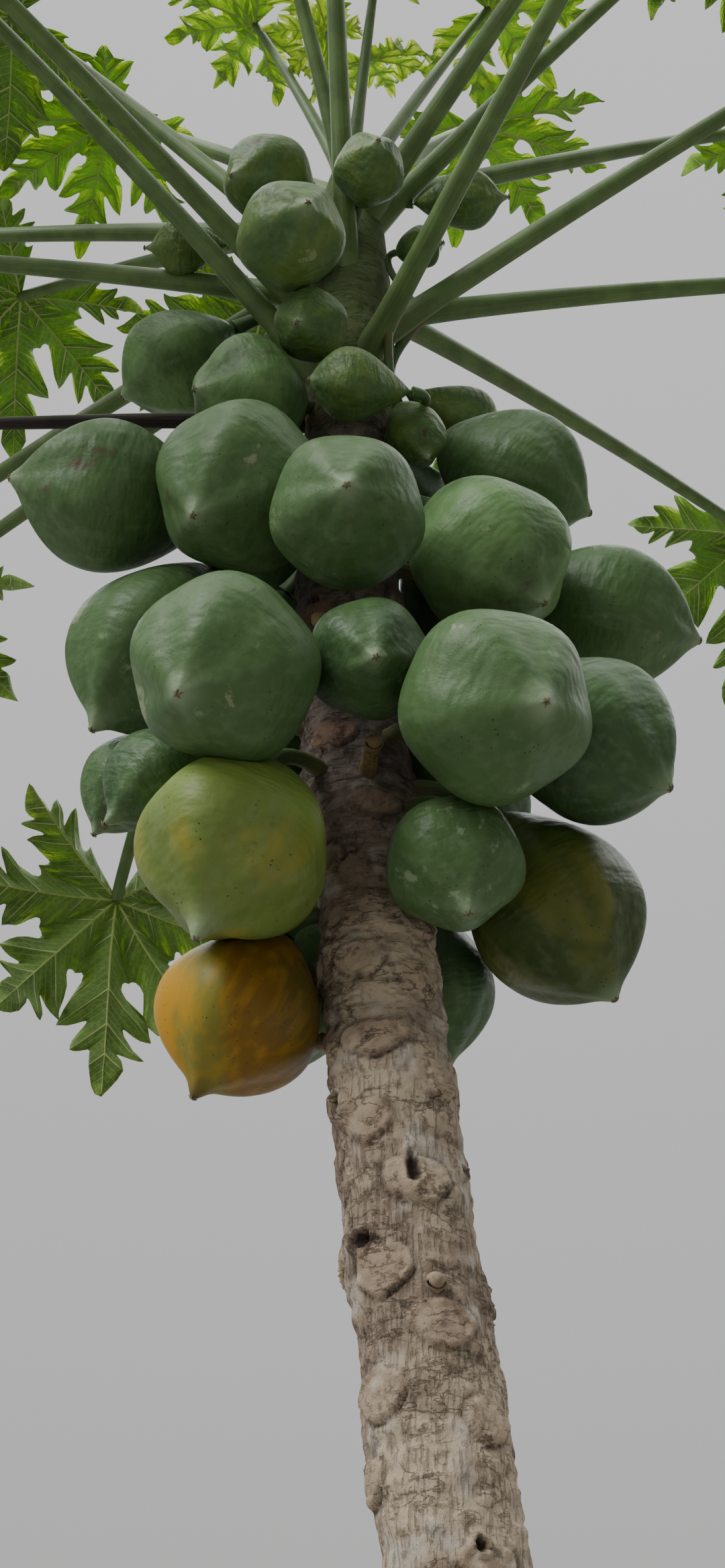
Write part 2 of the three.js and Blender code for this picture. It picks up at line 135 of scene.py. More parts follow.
class Young(NamedTuple):
    """A young fruit beside the root of a leaf stalk."""

    bearing: float
    reach: float
    height: float
    hang: float
    width: float
    length: float
    pear: float = PEAR
    facing: float = None
    root: float = None            # bearing of the stalk's foot where it isn't the leaf's
    point: float = 1.3


class Fruit(NamedTuple):
    """A large fruit: reach and height are those of the middle of its widest section."""

    name: str
    bearing: float
    reach: float
    height: float
    hang: float
    width: float
    length: float
    skin: str = "green"
    point: float = 1              # how marked the fruit's point is
    pear: float = PEAR
    facing: float = None


class Leaf(NamedTuple):
    """A leaf: height is where its stalk leaves the stem, length is the stalk's."""

    bearing: float
    height: float
    rise: float
    fall: float
    length: float
    blade: float
    nod: float = BLADE_NOD
    stout: float = 1
    tone: str = "grown"
    young: tuple = ()


# The lighter green skins in this table are painted light: lighter copies of the green skin for the
# fruit that stand in the light
FRUITS = (
    Fruit("fruit_ripe", -87, 0.152, 2.362, 65, 0.174, 0.204, "ripe", 1.8),
    Fruit("fruit_turning_left", -49, 0.187, 2.493, 70, 0.200, 0.242, "turning", 2.9),
    Fruit("fruit_low_front", 37, 0.140, 2.485, 65, 0.142, 0.180, "scuffed", 1.5, PEAR, 14),
    Fruit("fruit_turning_right", 95, 0.198, 2.500, 60, 0.190, 0.260, "blushed"),
    Fruit("fruit_low_back_right", 152, 0.135, 2.460, 65, 0.140, 0.190),
    Fruit("fruit_low_back", 180, 0.200, 2.570, 60, 0.165, 0.225),
    Fruit("fruit_low_back_left", -140, 0.155, 2.455, 65, 0.168, 0.220),
    Fruit("fruit_mid_right_front", 30, 0.268, 2.595, 30, 0.196, 0.245, "bright", 1, PEAR, 25),
    Fruit("fruit_mid_right", 70, 0.268, 2.650, 45, 0.180, 0.245),
    Fruit("fruit_mid_left_front", -30, 0.270, 2.640, 45, 0.196, 0.240, "bright"),
    Fruit("fruit_small_left", -75, 0.225, 2.620, 50, 0.112, 0.165, "green", 1.8),
    Fruit("fruit_small_far_left", -105, 0.270, 2.700, 60, 0.102, 0.155, "scuffed"),
    Fruit("fruit_mid_front", 5, 0.185, 2.690, 35, 0.128, 0.185),
    Fruit("fruit_mid_back_right", 125, 0.150, 2.680, 55, 0.158, 0.210),
    Fruit("fruit_mid_back_left", -155, 0.175, 2.720, 50, 0.172, 0.230),
    Fruit("fruit_mid_back", 152, 0.182, 2.815, 50, 0.174, 0.235, "scuffed"),
    Fruit("fruit_left", -86, 0.228, 2.825, 62, 0.186, 0.265, "scuffed", 1.8),
    Fruit("fruit_front", 0, 0.220, 2.860, 25, 0.168, 0.225, "bright"),
    Fruit("fruit_right", 60, 0.188, 2.900, 55, 0.186, 0.240, "pale"),
    Fruit("fruit_far_right", 95, 0.312, 2.908, 15, 0.172, 0.240, "bright"),
    Fruit("fruit_back_left", -130, 0.180, 2.890, 45, 0.166, 0.225),
    Fruit("fruit_back", 180, 0.190, 2.955, 40, 0.166, 0.225),
    Fruit("fruit_back_right", 125, 0.180, 2.970, 40, 0.162, 0.220),
    Fruit("fruit_left_front", -40, 0.188, 2.960, 50, 0.196, 0.250, "bright"),
    Fruit("fruit_far_left", -75, 0.295, 3.010, 0, 0.180, 0.245, "bright"),
    Fruit("fruit_high_back_left", -150, 0.175, 3.090, 35, 0.158, 0.210),
    Fruit("fruit_high_right", 95, 0.210, 3.118, 30, 0.168, 0.220, "bright"),
    Fruit("fruit_high_back", 150, 0.170, 3.150, 30, 0.148, 0.200),
    Fruit("fruit_high_left_front", -55, 0.150, 3.155, 20, 0.146, 0.165, "pale"),
    Fruit("fruit_high_left", -98, 0.228, 3.325, 35, 0.142, 0.180, "pale"),
)

LEAVES = [
    Leaf(-152, 3.210, 10, 72, 0.790, 0.300, nod=20, tone="old"),
    Leaf(-68, 3.215, 48, 6, 0.800, 0.310, tone="old",
         young=(Young(-20, 0.135, 3.235, 40, 0.091, 0.115),)),
    Leaf(30, 3.250, 25, 5, 0.790, 0.300, tone="old",
         young=(Young(50, 0.105, 3.110, 70, 0.075, 0.125, 1.6),
                Young(0, 0.140, 3.125, 5, 0.088, 0.130, 1.6, -75, 60, 0.4))),
    Leaf(70, 3.310, 28, 6, 0.800, 0.300, tone="old",
         young=(Young(50, 0.120, 3.425, 25, 0.055, 0.080, 1.5),)),
    Leaf(-52, 3.300, 30, 5, 0.780, 0.300),
    Leaf(-5, 3.360, 62, 5, 0.760, 0.310,
         young=(Young(-20, 0.205, 3.320, 20, 0.132, 0.175, PEAR, 17),
                Young(10, 0.150, 3.490, 15, 0.090, 0.125))),
    Leaf(98, 3.370, 18, 8, 0.810, 0.310,
         young=(Young(120, 0.170, 3.275, 5, 0.095, 0.145, 1.6),)),
    Leaf(-97, 3.405, 18, 8, 0.820, 0.310,
         young=(Young(-88, 0.225, 3.502, 5, 0.072, 0.105, 1.5),)),
    Leaf(-120, 3.420, -14, 6, 0.680, 0.260, nod=30, tone="old"),
    Leaf(135, 3.420, 12, 8, 0.870, 0.300),
    Leaf(-92, 3.430, 52, 5, 0.720, 0.290, young=(Young(-45, 0.150, 3.520, 35, 0.115, 0.155),)),
    Leaf(172, 3.440, 24, 10, 0.760, 0.300, young=(Young(180, 0.155, 3.300, 25, 0.120, 0.160),)),
    Leaf(-118, 3.488, -13, 6, 0.880, 0.290, nod=30),
    Leaf(75, 3.510, 48, 5, 0.700, 0.250, young=(Young(80, 0.160, 3.570, 5, 0.080, 0.125, 1.5),)),
    Leaf(-107, 3.530, 21, 8, 0.740, 0.280),
    Leaf(-165, 3.530, 40, 8, 0.700, 0.280, young=(Young(-130, 0.155, 3.300, 25, 0.120, 0.160),)),
    Leaf(42, 3.525, 32, 5, 0.650, 0.250, tone="young"),
    Leaf(-130, 3.560, 28, 6, 0.730, 0.290),
    Leaf(110, 3.585, 36, 6, 0.820, 0.250, tone="young"),
    Leaf(-125, 3.590, 50, 6, 0.650, 0.250, tone="young"),
    Leaf(150, 3.600, 58, 6, 0.680, 0.250, tone="young"),
]
TUFT_COUNT = 6
TUFT_TURN = 137.5
TUFT_BEARING = -30
for young_leaf in range(TUFT_COUNT):
    up_tuft = young_leaf / (TUFT_COUNT - 1)
    LEAVES.append(Leaf(
        bearing=TUFT_BEARING + TUFT_TURN * young_leaf,
        height=3.600 + 0.065 * up_tuft,
        rise=64 + 20 * up_tuft,
        fall=4,
        length=0.560 - 0.310 * up_tuft,
        blade=0.210 - 0.100 * up_tuft,
        stout=0.8 - 0.3 * up_tuft,
        tone="young",
    ))
DEAD_STALK = Leaf(-84, 3.195, -4, 5, 0.520, 0, stout=0.75)

# Leaf scars that face the viewer: bearing, height, half width and half height
SEEN_SCARS = (
    (-20, 2.401, 0.025, 0.019), (36, 2.382, 0.024, 0.018), (-16, 2.312, 0.032, 0.021),
    (38, 2.269, 0.026, 0.023), (-30, 2.225, 0.026, 0.020), (6, 2.160, 0.031, 0.025),
    (-34, 2.075, 0.028, 0.026), (12, 2.020, 0.030, 0.024), (-50, 1.960, 0.028, 0.024),
    (44, 1.935, 0.026, 0.022), (15, 2.592, 0.028, 0.015), (-24, 2.680, 0.026, 0.017),
)
# Hollows where fruit stalks broke off: bearing, height, half width, half height, height of rim
SEEN_PITS = (
    (-58, 2.248, 0.009, 0.013, 0.011), (4, 2.174, 0.006, 0.016, 0.004),
    (-50, 2.108, 0.010, 0.008, 0.007), (60, 2.180, 0.006, 0.006, 0.006),
)
# Stubs of fruit stalks: bearing, height, length and rise
STUBS = (
    (9, 2.628, 0.046, 12), (10, 2.052, 0.008, 20), (-120, 2.330, 0.030, 40),
    (150, 2.280, 0.024, 30), (-20, 2.790, 0.045, 25), (40, 2.800, 0.030, 40),
    (-10, 3.050, 0.040, 30), (20, 2.985, 0.050, 45),
)
STUB_SUNK = 0.012
# Radius of a stub at shares of its length, with a sunken end
STUB_PROFILE = (
    (0, 0.0110), (0.2, 0.0104), (0.4, 0.0092), (0.6, 0.0084), (0.75, 0.0084), (0.86, 0.0090),
    (0.94, 0.0100), (0.985, 0.0102), (1.0, 0.0094), (0.993, 0.0076), (0.90, 0.0066),
)


def linear(code):
    """A written colour such as #8c7766 as the linear red, green and blue that shaders take."""
    shares = [int(code[i:i + 2], 16) / 255 for i in (1, 3, 5)]
    return tuple(s / 12.92 if s <= 0.04045 else ((s + 0.055) / 1.055) ** 2.4 for s in shares)


def colour_property(name, description, code):
    return bpy.props.FloatVectorProperty(
        name=name, description=description, default=linear(code), subtype="COLOR",
        min=0, max=1, size=3)


def length_property(name, description, default):
    return bpy.props.FloatProperty(
        name=name, description=description, default=default, min=0, unit="LENGTH", precision=4)


class PapayaStemSettings(bpy.types.PropertyGroup):
    """Relief and colours of the bark."""

    scar_pitch: length_property("Scar pitch", "Height from one leaf scar to the next", 0.040)
    scar_stand: length_property("Scar stand", "How far a leaf scar's lower edge stands out", 0.0038)
    swelling: length_property("Swelling", "How far the stem swells round a leaf scar", 0.0045)
    lump_depth: length_property("Lumps", "Depth of the stem's broad lumps", 0.0040)
    wrinkle_depth: length_property("Wrinkles", "Depth of the bark's level wrinkles", 0.0016)
    light: colour_property("Light bark", "Dry, rubbed bark", "#b0a18b")
    dark: colour_property("Dark bark", "Bark between the rubbed places", "#8a7a6a")
    grey: colour_property("Grey bark", "Smooth greyish patches", "#b1a698")
    scar: colour_property("Scar", "Corky face of a leaf scar", "#a38e76")
    # Colour of the cracks, also laid as painted shade in the scar grooves, under the scars and in the
    # pits
    crease: colour_property("Crease", "Cracks and pits", "#1f1714")
    # Bark and scar colours among the fruit: partly the bark's own darker colour, partly painted shade
    # cast by the fruit
    shaded: colour_property("Fruit zone", "Bark among the fruit", "#5a514c")
    shaded_scar: colour_property("Fruit zone scar", "Leaf scar among the fruit", "#664f42")
    tip: colour_property("Growing tip", "Green top of the stem", "#53663b")


class PapayaFruitSettings(bpy.types.PropertyGroup):
    """Shape and colours of the fruit."""

    ridge: bpy.props.FloatProperty(
        name="Ridges", description="Height of the five ridges as a share of the radius",
        default=0.032, min=0, max=0.04, precision=3)
    nipple: length_property("Nipple", "How far the fruit's point stands out", 0.008)
    unevenness: length_property("Unevenness", "Depth of the skin's broad dents", 0.0030)
    green: colour_property("Green", "Green skin", "#446036")
    dark_green: colour_property("Dark green", "Darker mottling of green skin", "#385131")
    # Painted light: lighter copies of the green skin for the fruit that stand in the light, also the
    # base of the scuffed skin
    lit_green: colour_property("Bright green", "Skin of the fruit that catch the light", "#49643a")
    well_lit_green: colour_property("Pale green", "Lighter skin of a few of the fruit", "#5f804c")
    bloom: colour_property("Bloom", "Waxy bloom and rubbed streaks", "#8e9f80")
    bruise: colour_property("Bruise", "Rusty marks where fruit rubbed together", "#4c3d2e")
    # Small dark marks on the skin, also laid as painted shade in the sunken ends of the stubs
    freckle_and_hollow_shade: colour_property("Freckle", "Small dark marks", "#23281a")
    yellow: colour_property("Yellow", "Skin that turns yellow", "#868130")
    olive: colour_property("Olive", "Skin of the turning fruit", "#697c39")
    shade: colour_property("Shade", "Dark skin of the turning fruit", "#38481b")
    young: colour_property("Young fruit", "Yellower skin of the young fruit", "#566c30")
    scrape: colour_property("Scrape", "Dry marks where the skin was scraped", "#9c9f80")
    # Ripe fruit colours, darker towards the stem partly as painted shade
    orange: colour_property("Orange", "Sunny side of the ripe fruit", "#ae821a")
    deep_orange: colour_property("Deep orange", "Shaded skin of the ripe fruit", "#725413")
    brown: colour_property("Brown", "Skin of the ripe fruit towards the stem", "#5c4e20")
    dried: colour_property("Dried flower", "Flower remnant at the fruit's point", "#837860")
    stalk_root: colour_property("Fruit stalk root", "Foot of a fruit's stalk", "#66593a")
    stub: colour_property("Stub", "Stub of a fallen fruit's stalk", "#84734a")


class PapayaLeafSettings(bpy.types.PropertyGroup):
    """Shape and colours of the leaves and their stalks."""

    thickness: length_property("Blade thickness", "Thickness of the blade between its veins", 0.0014)
    rib_depth: length_property("Rib depth", "Thickness of the blade at its ribs", 0.0055)
    wave: length_property("Wave", "Height of the waves along the edge", 0.010)
    variety: bpy.props.FloatProperty(
        name="Variety", description="How much the lobes differ in droop", default=0.5, min=0, max=1)
    old_top: colour_property("Old leaf, top", "Upper side of the lowest leaves", "#33501a")
    old_under: colour_property("Old leaf, underside", "Underside of the lowest leaves", "#63803a")
    grown_top: colour_property("Grown leaf, top", "Upper side of a full-grown leaf", "#294a19")
    grown_under: colour_property("Grown leaf, underside", "Underside of a full-grown leaf", "#577c2e")
    young_top: colour_property("Young leaf, top", "Upper side of a young leaf", "#3f6720")
    young_under: colour_property("Young leaf, underside", "Underside of a young leaf", "#6d9433")
    vein: colour_property("Vein", "Ribs and side veins", "#a3b865")
    stalk: colour_property("Stalk", "Leaf stalk", "#566f3b")
    stalk_root: colour_property("Stalk root", "Foot of a leaf stalk", "#5a6a40")
    dead: colour_property("Dead stalk", "Dried leaf stalk", "#2e2426")


class PapayaStageSettings(bpy.types.PropertyGroup):
    """Camera, lights and floor."""

    camera_place: bpy.props.FloatVectorProperty(
        name="Camera place", description="Where the camera stands", default=(-0.239, -1.93, 1.40),
        subtype="TRANSLATION")
    camera_pitch: bpy.props.FloatProperty(
        name="Camera pitch", description="How far up the camera looks",
        default=math.radians(33), subtype="ANGLE")
    camera_lens: bpy.props.FloatProperty(
        name="Lens", description="Focal length on a 36 mm sensor", default=47.5, min=1)
    sky: colour_property("Sky", "Light from all round, straight above", "#ffffff")
    horizon: colour_property("Horizon", "Light from all round, level", "#c9cdc9")
    ground: colour_property("Ground light", "Light from all round, from below", "#8a8d86")
    sky_strength: bpy.props.FloatProperty(
        name="Sky strength", description="Strength of the light from all round", default=0.8, min=0)
    front_share: bpy.props.FloatProperty(
        name="Front share", description="Share of that light which comes from the viewer's side",
        default=0.36, min=0, max=1)
    key_strength: bpy.props.FloatProperty(
        name="Key light", description="Strength of the soft light from the upper left front",
        default=3.0, min=0)
    top_strength: bpy.props.FloatProperty(
        name="Top light", description="Strength of the soft light from straight above",
        default=4.6, min=0)
    floor: colour_property("Floor", "Plain floor", "#7e7c78")


# Places and directions

def direction(bearing, rise=0):
    b = math.radians(bearing)
    r = math.radians(rise)
    return np.array([math.sin(b) * math.cos(r), -math.cos(b) * math.cos(r), math.sin(r)])


def unit(vector):
    return vector / np.linalg.norm(vector)


def stem_axis(height):
    """Centre of the stem at a height, or at each of several heights."""
    height = np.asarray(height, float)
    x = np.zeros_like(height)
    for (low, low_slope), (high, high_slope) in zip(LEAN, LEAN[1:]):
        part = np.clip(height - low, 0, high - low)
        x += part * (low_slope + (high_slope - low_slope) * part / (high - low) / 2)
    return np.stack([x, np.zeros_like(x), height], axis=-1)


def stem_radius(height):
    """Radius of the stem above its flare at a height, or at each of several heights."""
    along = np.clip((height - SHOULDER) / (STEM_TOP - SHOULDER), 0, 1)
    return (FOOT_WIDTH - TAPER * height) / 2 * np.sqrt(1 - along * along)


def noise(points, seed=0):
    """Smooth random values from -1 to 1 at points, about one bump to each unit of length."""
    cell = np.floor(points).astype(np.int64)
    part = points - cell
    part = part * part * (3 - 2 * part)
    total = np.zeros(len(points))
    for corner in np.ndindex(2, 2, 2):
        key = (cell + corner) @ np.array([73856093, 19349663, 83492791]) + seed * 2654435761
        key = (key ^ (key >> 13)) * 1274126177 & 0x7FFFFFFF
        key = (key ^ (key >> 15)) * 668265263 & 0x7FFFFFFF
        weight = np.prod(np.where(corner, part, 1 - part), axis=1)
        total += weight * (key / 0x3FFFFFFF - 1)
    return total


def smooth_share(value, low, high):
    """0 below low, 1 above high and a smooth step between; low may be the larger."""
    share = np.clip((value - low) / (high - low), 0, 1)
    return share * share * (3 - 2 * share)


# Meshes

def deselect():
    bpy.ops.object.select_all(action="DESELECT")


def corners(mesh):
    found = np.zeros(len(mesh.vertices) * 3)
    mesh.vertices.foreach_get("co", found)
    return found.reshape(-1, 3)


def set_corners(mesh, points):
    mesh.vertices.foreach_set("co", np.asarray(points, np.float32).ravel())
    mesh.update()


def attribute_values(mesh, name):
    found = np.zeros(len(mesh.vertices))
    mesh.attributes[name].data.foreach_get("value", found)
    return found


def set_attribute(mesh, name, values):
    """Keeps a number or a vector with each vertex."""
    values = np.asarray(values, np.float32)
    kind = "FLOAT" if values.ndim == 1 else "FLOAT_VECTOR"
    made = mesh.attributes.get(name) or mesh.attributes.new(name, kind, "POINT")
    made.data.foreach_set("value" if values.ndim == 1 else "vector", values.ravel())


def grid(columns, rows):
    """A new sheet, and the column and row number of each of its vertices."""
    deselect()
    bpy.ops.mesh.primitive_grid_add(x_subdivisions=columns, y_subdivisions=rows, size=1)
    sheet = bpy.context.object
    spots = corners(sheet.data)
    column = np.rint((spots[:, 0] + 0.5) * columns).astype(int)
    row = np.rint((spots[:, 1] + 0.5) * rows).astype(int)
    return sheet, column, row


def edit(piece, *steps):
    """Runs edit-mode steps on all of a piece."""
    deselect()
    piece.select_set(True)
    bpy.context.view_layer.objects.active = piece
    bpy.ops.object.mode_set(mode="EDIT")
    bpy.ops.mesh.select_all(action="SELECT")
    for step in steps:
        step()
    bpy.ops.object.mode_set(mode="OBJECT")


def weld(distance=1e-5):
    return lambda: bpy.ops.mesh.remove_doubles(threshold=distance)


def close_holes():
    bpy.ops.mesh.select_all(action="DESELECT")
    bpy.ops.mesh.select_non_manifold()
    bpy.ops.mesh.edge_face_add()


def outwards():
    bpy.ops.mesh.select_all(action="SELECT")
    bpy.ops.mesh.normals_make_consistent(inside=False)


def join(name, parts):
    """One smooth mesh of several, with its origin at the tree's."""
    deselect()
    for part in parts:
        part.select_set(True)
    bpy.context.view_layer.objects.active = parts[0]
    if len(parts) > 1:
        bpy.ops.object.join()
    whole = bpy.context.view_layer.objects.active
    bpy.ops.object.shade_smooth()
    whole.name = name
    whole.data.name = name
    return whole


def hand_over(name, parts, nodes, finish=None):
    """Joins parts to a piece that rides on the tree, fills a slot and stands for nodes."""
    piece = join(name, parts)
    if finish:
        piece.data.materials.append(finish)
    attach(piece, BODY)
    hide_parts(*nodes)


def tube(points, radii, resolution=4):
    """A round limb through points, closed at both ends."""
    deselect()
    bpy.ops.curve.primitive_nurbs_path_add()
    path = bpy.context.object
    spline = path.data.splines[0]
    spline.points.add(len(points) - len(spline.points))
    spline.type = "POLY"
    for knot, place, radius in zip(spline.points, points, radii):
        knot.co = (*place, 1)
        knot.radius = radius
    path.data.bevel_depth = 1
    path.data.bevel_resolution = resolution
    path.data.use_fill_caps = True
    bpy.ops.object.convert(target="MESH")
    return bpy.context.object


def bent(start, middle, end, steps):
    """Points on the curve that leaves start towards middle and comes to end from there."""
    share = np.linspace(0, 1, steps + 1)[:, None]
    return (1 - share) ** 2 * start + 2 * share * (1 - share) * middle + share ** 2 * end


# Finishes

def scaled(colour, share):
    """A colour made darker, or brighter."""
    return tuple(share * c for c in colour)


class Nodes:
    """Nodes of a material or of the world, added one by one."""

    def __init__(self, tree):
        self.tree = tree

    def put(self, socket, value):
        """Links a node's output to a socket, or sets the socket's own value."""
        if isinstance(value, bpy.types.NodeSocket):
            self.tree.links.new(value, socket)
        elif socket.type == "RGBA":
            socket.default_value = (*value[:3], 1)
        else:
            socket.default_value = value

    def add(self, kind, inputs=None):
        """A new node, with its inputs set or linked."""
        node = self.tree.nodes.new("ShaderNode" + kind)
        for name, value in (inputs or {}).items():
            self.put(node.inputs[name], value)
        return node

    def part(self, source, axis):
        return self.add("SeparateXYZ", {0: source}).outputs[axis]

    def sum(self, kind, first, second=0):
        node = self.add("Math", {0: first, 1: second})
        node.operation = kind
        return node.outputs[0]


class Finish(Nodes):
    """A node material whose colour is laid on coat by coat."""

    def __init__(self, name, roughness, specular=0.5):
        self.material = bpy.data.materials.new(name)
        self.material.use_nodes = True
        super().__init__(self.material.node_tree)
        self.shader = self.tree.nodes["Principled BSDF"].inputs
        self.shader["Roughness"].default_value = roughness
        self.shader["Specular IOR Level"].default_value = specular
        self.place = self.add("TexCoord").outputs["Object"]
        self.tint = None

    def attribute(self, name, output="Fac"):
        node = self.add("Attribute")
        node.attribute_name = name
        return node.outputs[output]

    def noise(self, source, scale, detail=3, roughness=0.55):
        """Clouds from 0 to 1, stretched where scale has three numbers."""
        if isinstance(scale, tuple):
            source = self.add("Mapping", {"Vector": source, "Scale": scale}).outputs["Vector"]
            scale = 1
        inputs = {"Vector": source, "Scale": scale, "Detail": detail, "Roughness": roughness}
        return self.add("TexNoise", inputs).outputs["Fac"]

    def cells(self, source, scale):
        return self.add("TexVoronoi", {"Vector": source, "Scale": scale}).outputs["Distance"]

    def crack(self, value, width):
        """1 on the thin lines where a noise passes its middle value."""
        away = self.sum("ABSOLUTE", self.sum("SUBTRACT", value, 0.5))
        return self.share(away, width, width * 0.25)

    def share(self, value, low, high):
        """0 where value is below low, 1 where it is above high; low may be the larger."""
        bounds = {"Value": value, "From Min": min(low, high), "From Max": max(low, high)}
        if low > high:
            bounds.update({"To Min": 1, "To Max": 0})
        node = self.add("MapRange", bounds)
        node.interpolation_type = "SMOOTHSTEP"
        return node.outputs["Result"]

    def mix(self, share, first, second):
        node = self.add("Mix")
        node.data_type = "RGBA"
        for socket, value in ((0, share), (6, first), (7, second)):
            self.put(node.inputs[socket], value)
        return node.outputs[2]

    def lay(self, share, colour, strength=1):
        """Lays a colour on where share is 1, thinned by strength."""
        if strength != 1:
            share = self.sum("MULTIPLY", share, strength)
        self.tint = self.mix(share, self.tint, colour)

    def done(self, *bumps):
        """The material, with bumps that each have a height, a distance and a strength."""
        self.put(self.shader["Base Color"], self.tint)
        normal = None
        for height, distance, *strength in bumps:
            inputs = {"Height": height, "Distance": distance}
            if strength:
                inputs["Strength"] = strength[0]
            if normal:
                inputs["Normal"] = normal
            normal = self.add("Bump", inputs).outputs["Normal"]
        if normal:
            self.put(self.shader["Normal"], normal)
        return self.material


def bark(look):
    """Flaky bark: upright lines, level folds higher up, cracks and corky scars, dark cracks round the
    scars with painted shadow under them, painted shade in the pits, and darker bark among the fruit
    that is partly painted shade.
    """
    finish = Finish("bark", roughness=0.88, specular=0.2)
    place = finish.place
    height = finish.part(place, "Z")
    scar = finish.attribute("scar")
    broad = finish.noise(place, 8)
    patch = finish.noise(place, 19, 2)
    flake = finish.noise(place, (62, 62, 54), 8, 0.68)
    speck = finish.noise(place, 230, 4, 0.65)
    upright = finish.noise(place, (270, 270, 30), 4)
    level = finish.noise(place, (34, 34, 150), 4, 0.6)
    wander = finish.noise(place, (26, 26, 60), 6, 0.6)
    finish.tint = look.dark
    finish.lay(finish.share(broad, 0.42, 0.58), look.light)
    finish.lay(finish.share(patch, 0.54, 0.66), look.grey)
    finish.lay(scar, look.scar, 0.4)
    # Darker bark and scars among the fruit: partly the bark's own colour, partly painted shade of the
    # fruit hanging there
    zone = finish.share(height, FRUIT_ZONE - 0.12, FRUIT_ZONE + 0.06)
    finish.lay(zone, finish.mix(scar, look.shaded, look.shaded_scar), 0.9)
    deep = finish.mix(0.55, finish.tint, look.crease)
    pale = finish.mix(0.4, finish.tint, look.grey)
    finish.lay(finish.share(flake, 0.50, 0.34), deep)
    finish.lay(finish.share(flake, 0.58, 0.72), pale)
    grain = finish.mix(finish.share(height, *FOLDED), upright, level)
    lines = finish.sum("MULTIPLY", finish.share(grain, 0.50, 0.36), finish.share(scar, 1, 0))
    finish.lay(lines, deep, 0.6)
    finish.lay(finish.share(speck, 0.60, 0.74), pale)
    cracked = finish.sum(
        "MULTIPLY", finish.crack(wander, 0.022), finish.share(patch, 0.58, 0.42))
    finish.lay(cracked, look.crease, 0.38)
    smooth = finish.mix(finish.share(broad, 0.35, 0.65), scaled(look.tip, 0.7), look.tip)
    finish.lay(finish.share(height, *GREEN_TIP), smooth, 0.88)
    # Dark cracks round the scars, painted shadow under them and painted shade in the pits
    finish.lay(finish.attribute("crease"), look.crease)
    return finish.done(
        (flake, 0.0040), (lines, -0.0010), (cracked, -0.0020), (speck, 0.0008))


def fruit_skin(name, look, base, mottle, bloom, yellow=None, ripe=0):
    """Waxy skin, mottled and faintly streaked along the fruit, with freckles and bloom."""
    finish = Finish(name, roughness=0.46, specular=0.24)
    own = finish.attribute("skin", "Vector")
    streak = finish.noise(own, (13, 13, 1.8), 4)
    smear = finish.noise(own, (4.5, 4.5, 1.7), 6, 0.65)
    mark = finish.noise(own, 2.6, 6, 0.6)
    ripple = finish.noise(own, (4.2, 4.2, 10), 2)
    pore = finish.noise(finish.place, 420, 2)
    finish.tint = mottle
    finish.lay(finish.share(finish.noise(own, 2.6, 4), 0.34, 0.66), base)
    finish.lay(finish.share(streak, 0.44, 0.72), finish.mix(0.5, base, look.bloom), 0.25)
    if ripe:
        patch = finish.noise(own, (3.4, 3.4, 0.8), 2)
        finish.lay(finish.share(patch, 0.60 - 0.3 * ripe, 0.92 - 0.3 * ripe), yellow)
        # Painted light: the turning fruit's shoulder is laid paler, as if lit from above
        shoulder = finish.share(finish.part(own, "Z"), 0.84, 0.56)
        finish.lay(shoulder, scaled(base, 1.8), 0.7)
    finish.lay(finish.share(smear, 0.72 - 0.16 * bloom, 0.86 - 0.24 * bloom), look.bloom, 0.55)
    finish.lay(finish.share(mark, 0.72 - 0.12 * bloom, 0.76 - 0.13 * bloom), look.scrape, 0.45)
    bruised = finish.sum(
        "MULTIPLY", finish.share(mark, 0.36, 0.29), finish.share(smear, 0.40, 0.56))
    finish.lay(bruised, look.bruise, 0.8)
    finish.lay(finish.attribute("tip"), look.bloom, 0.7)
    sparse = finish.share(finish.noise(own, 5, 1), 0.52, 0.62)
    freckles = finish.share(finish.cells(own, 24), 0.15, 0.07)
    finish.lay(finish.sum("MULTIPLY", freckles, sparse), look.freckle_and_hollow_shade)
    scratch = finish.noise(own, (34, 34, 5), 3)
    scratched = finish.share(scratch, 0.70 - 0.06 * bloom, 0.76 - 0.06 * bloom)
    finish.lay(finish.sum("MULTIPLY", scratched, sparse), look.freckle_and_hollow_shade, 0.8)
    return finish.done((ripple, 0.0070, 0.6), (streak, 0.0012, 0.6), (pore, 0.0005, 0.5))


def ripe_skin(look):
    """Orange on the side towards the light, then an olive band, deep orange, and brown towards the
    stem; the colours are the fruit's own, and their darkening towards the stem is partly painted
    shade.
    """
    finish = Finish("ripe_skin", roughness=0.46, specular=0.24)
    own = finish.attribute("skin", "Vector")
    cloud = finish.noise(own, (3, 3, 1.6), 4)
    streak = finish.noise(own, (11, 11, 1.6), 4)
    smear = finish.noise(own, (7, 7, 3), 6, 0.7)
    left, right = (corner.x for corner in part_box("fruit_ripe"))
    across = finish.sum("SUBTRACT", finish.part(finish.place, "X"), left)
    across = finish.sum("MULTIPLY", across, 1 / (right - left))
    wander = finish.sum("MULTIPLY", finish.sum("SUBTRACT", cloud, 0.5), 0.5)
    across = finish.sum("ADD", across, wander)
    finish.tint = look.orange
    # Darker across the fruit towards the stem: partly its own colours, partly painted shade
    finish.lay(finish.share(across, 0.10, 0.25), scaled(look.yellow, 0.8))
    finish.lay(finish.share(across, 0.34, 0.52), look.deep_orange)
    finish.lay(finish.share(across, 0.66, 0.92), look.brown)
    finish.lay(finish.share(streak, 0.42, 0.68), finish.mix(0.35, finish.tint, look.orange))
    finish.lay(finish.share(smear, 0.66, 0.73), look.scrape)
    finish.lay(finish.share(finish.cells(own, 22), 0.14, 0.06), look.freckle_and_hollow_shade, 0.8)
    finish.lay(finish.attribute("tip"), look.bruise, 0.7)
    return finish.done((cloud, 0.0040, 0.5), (smear, 0.0015, 0.5))


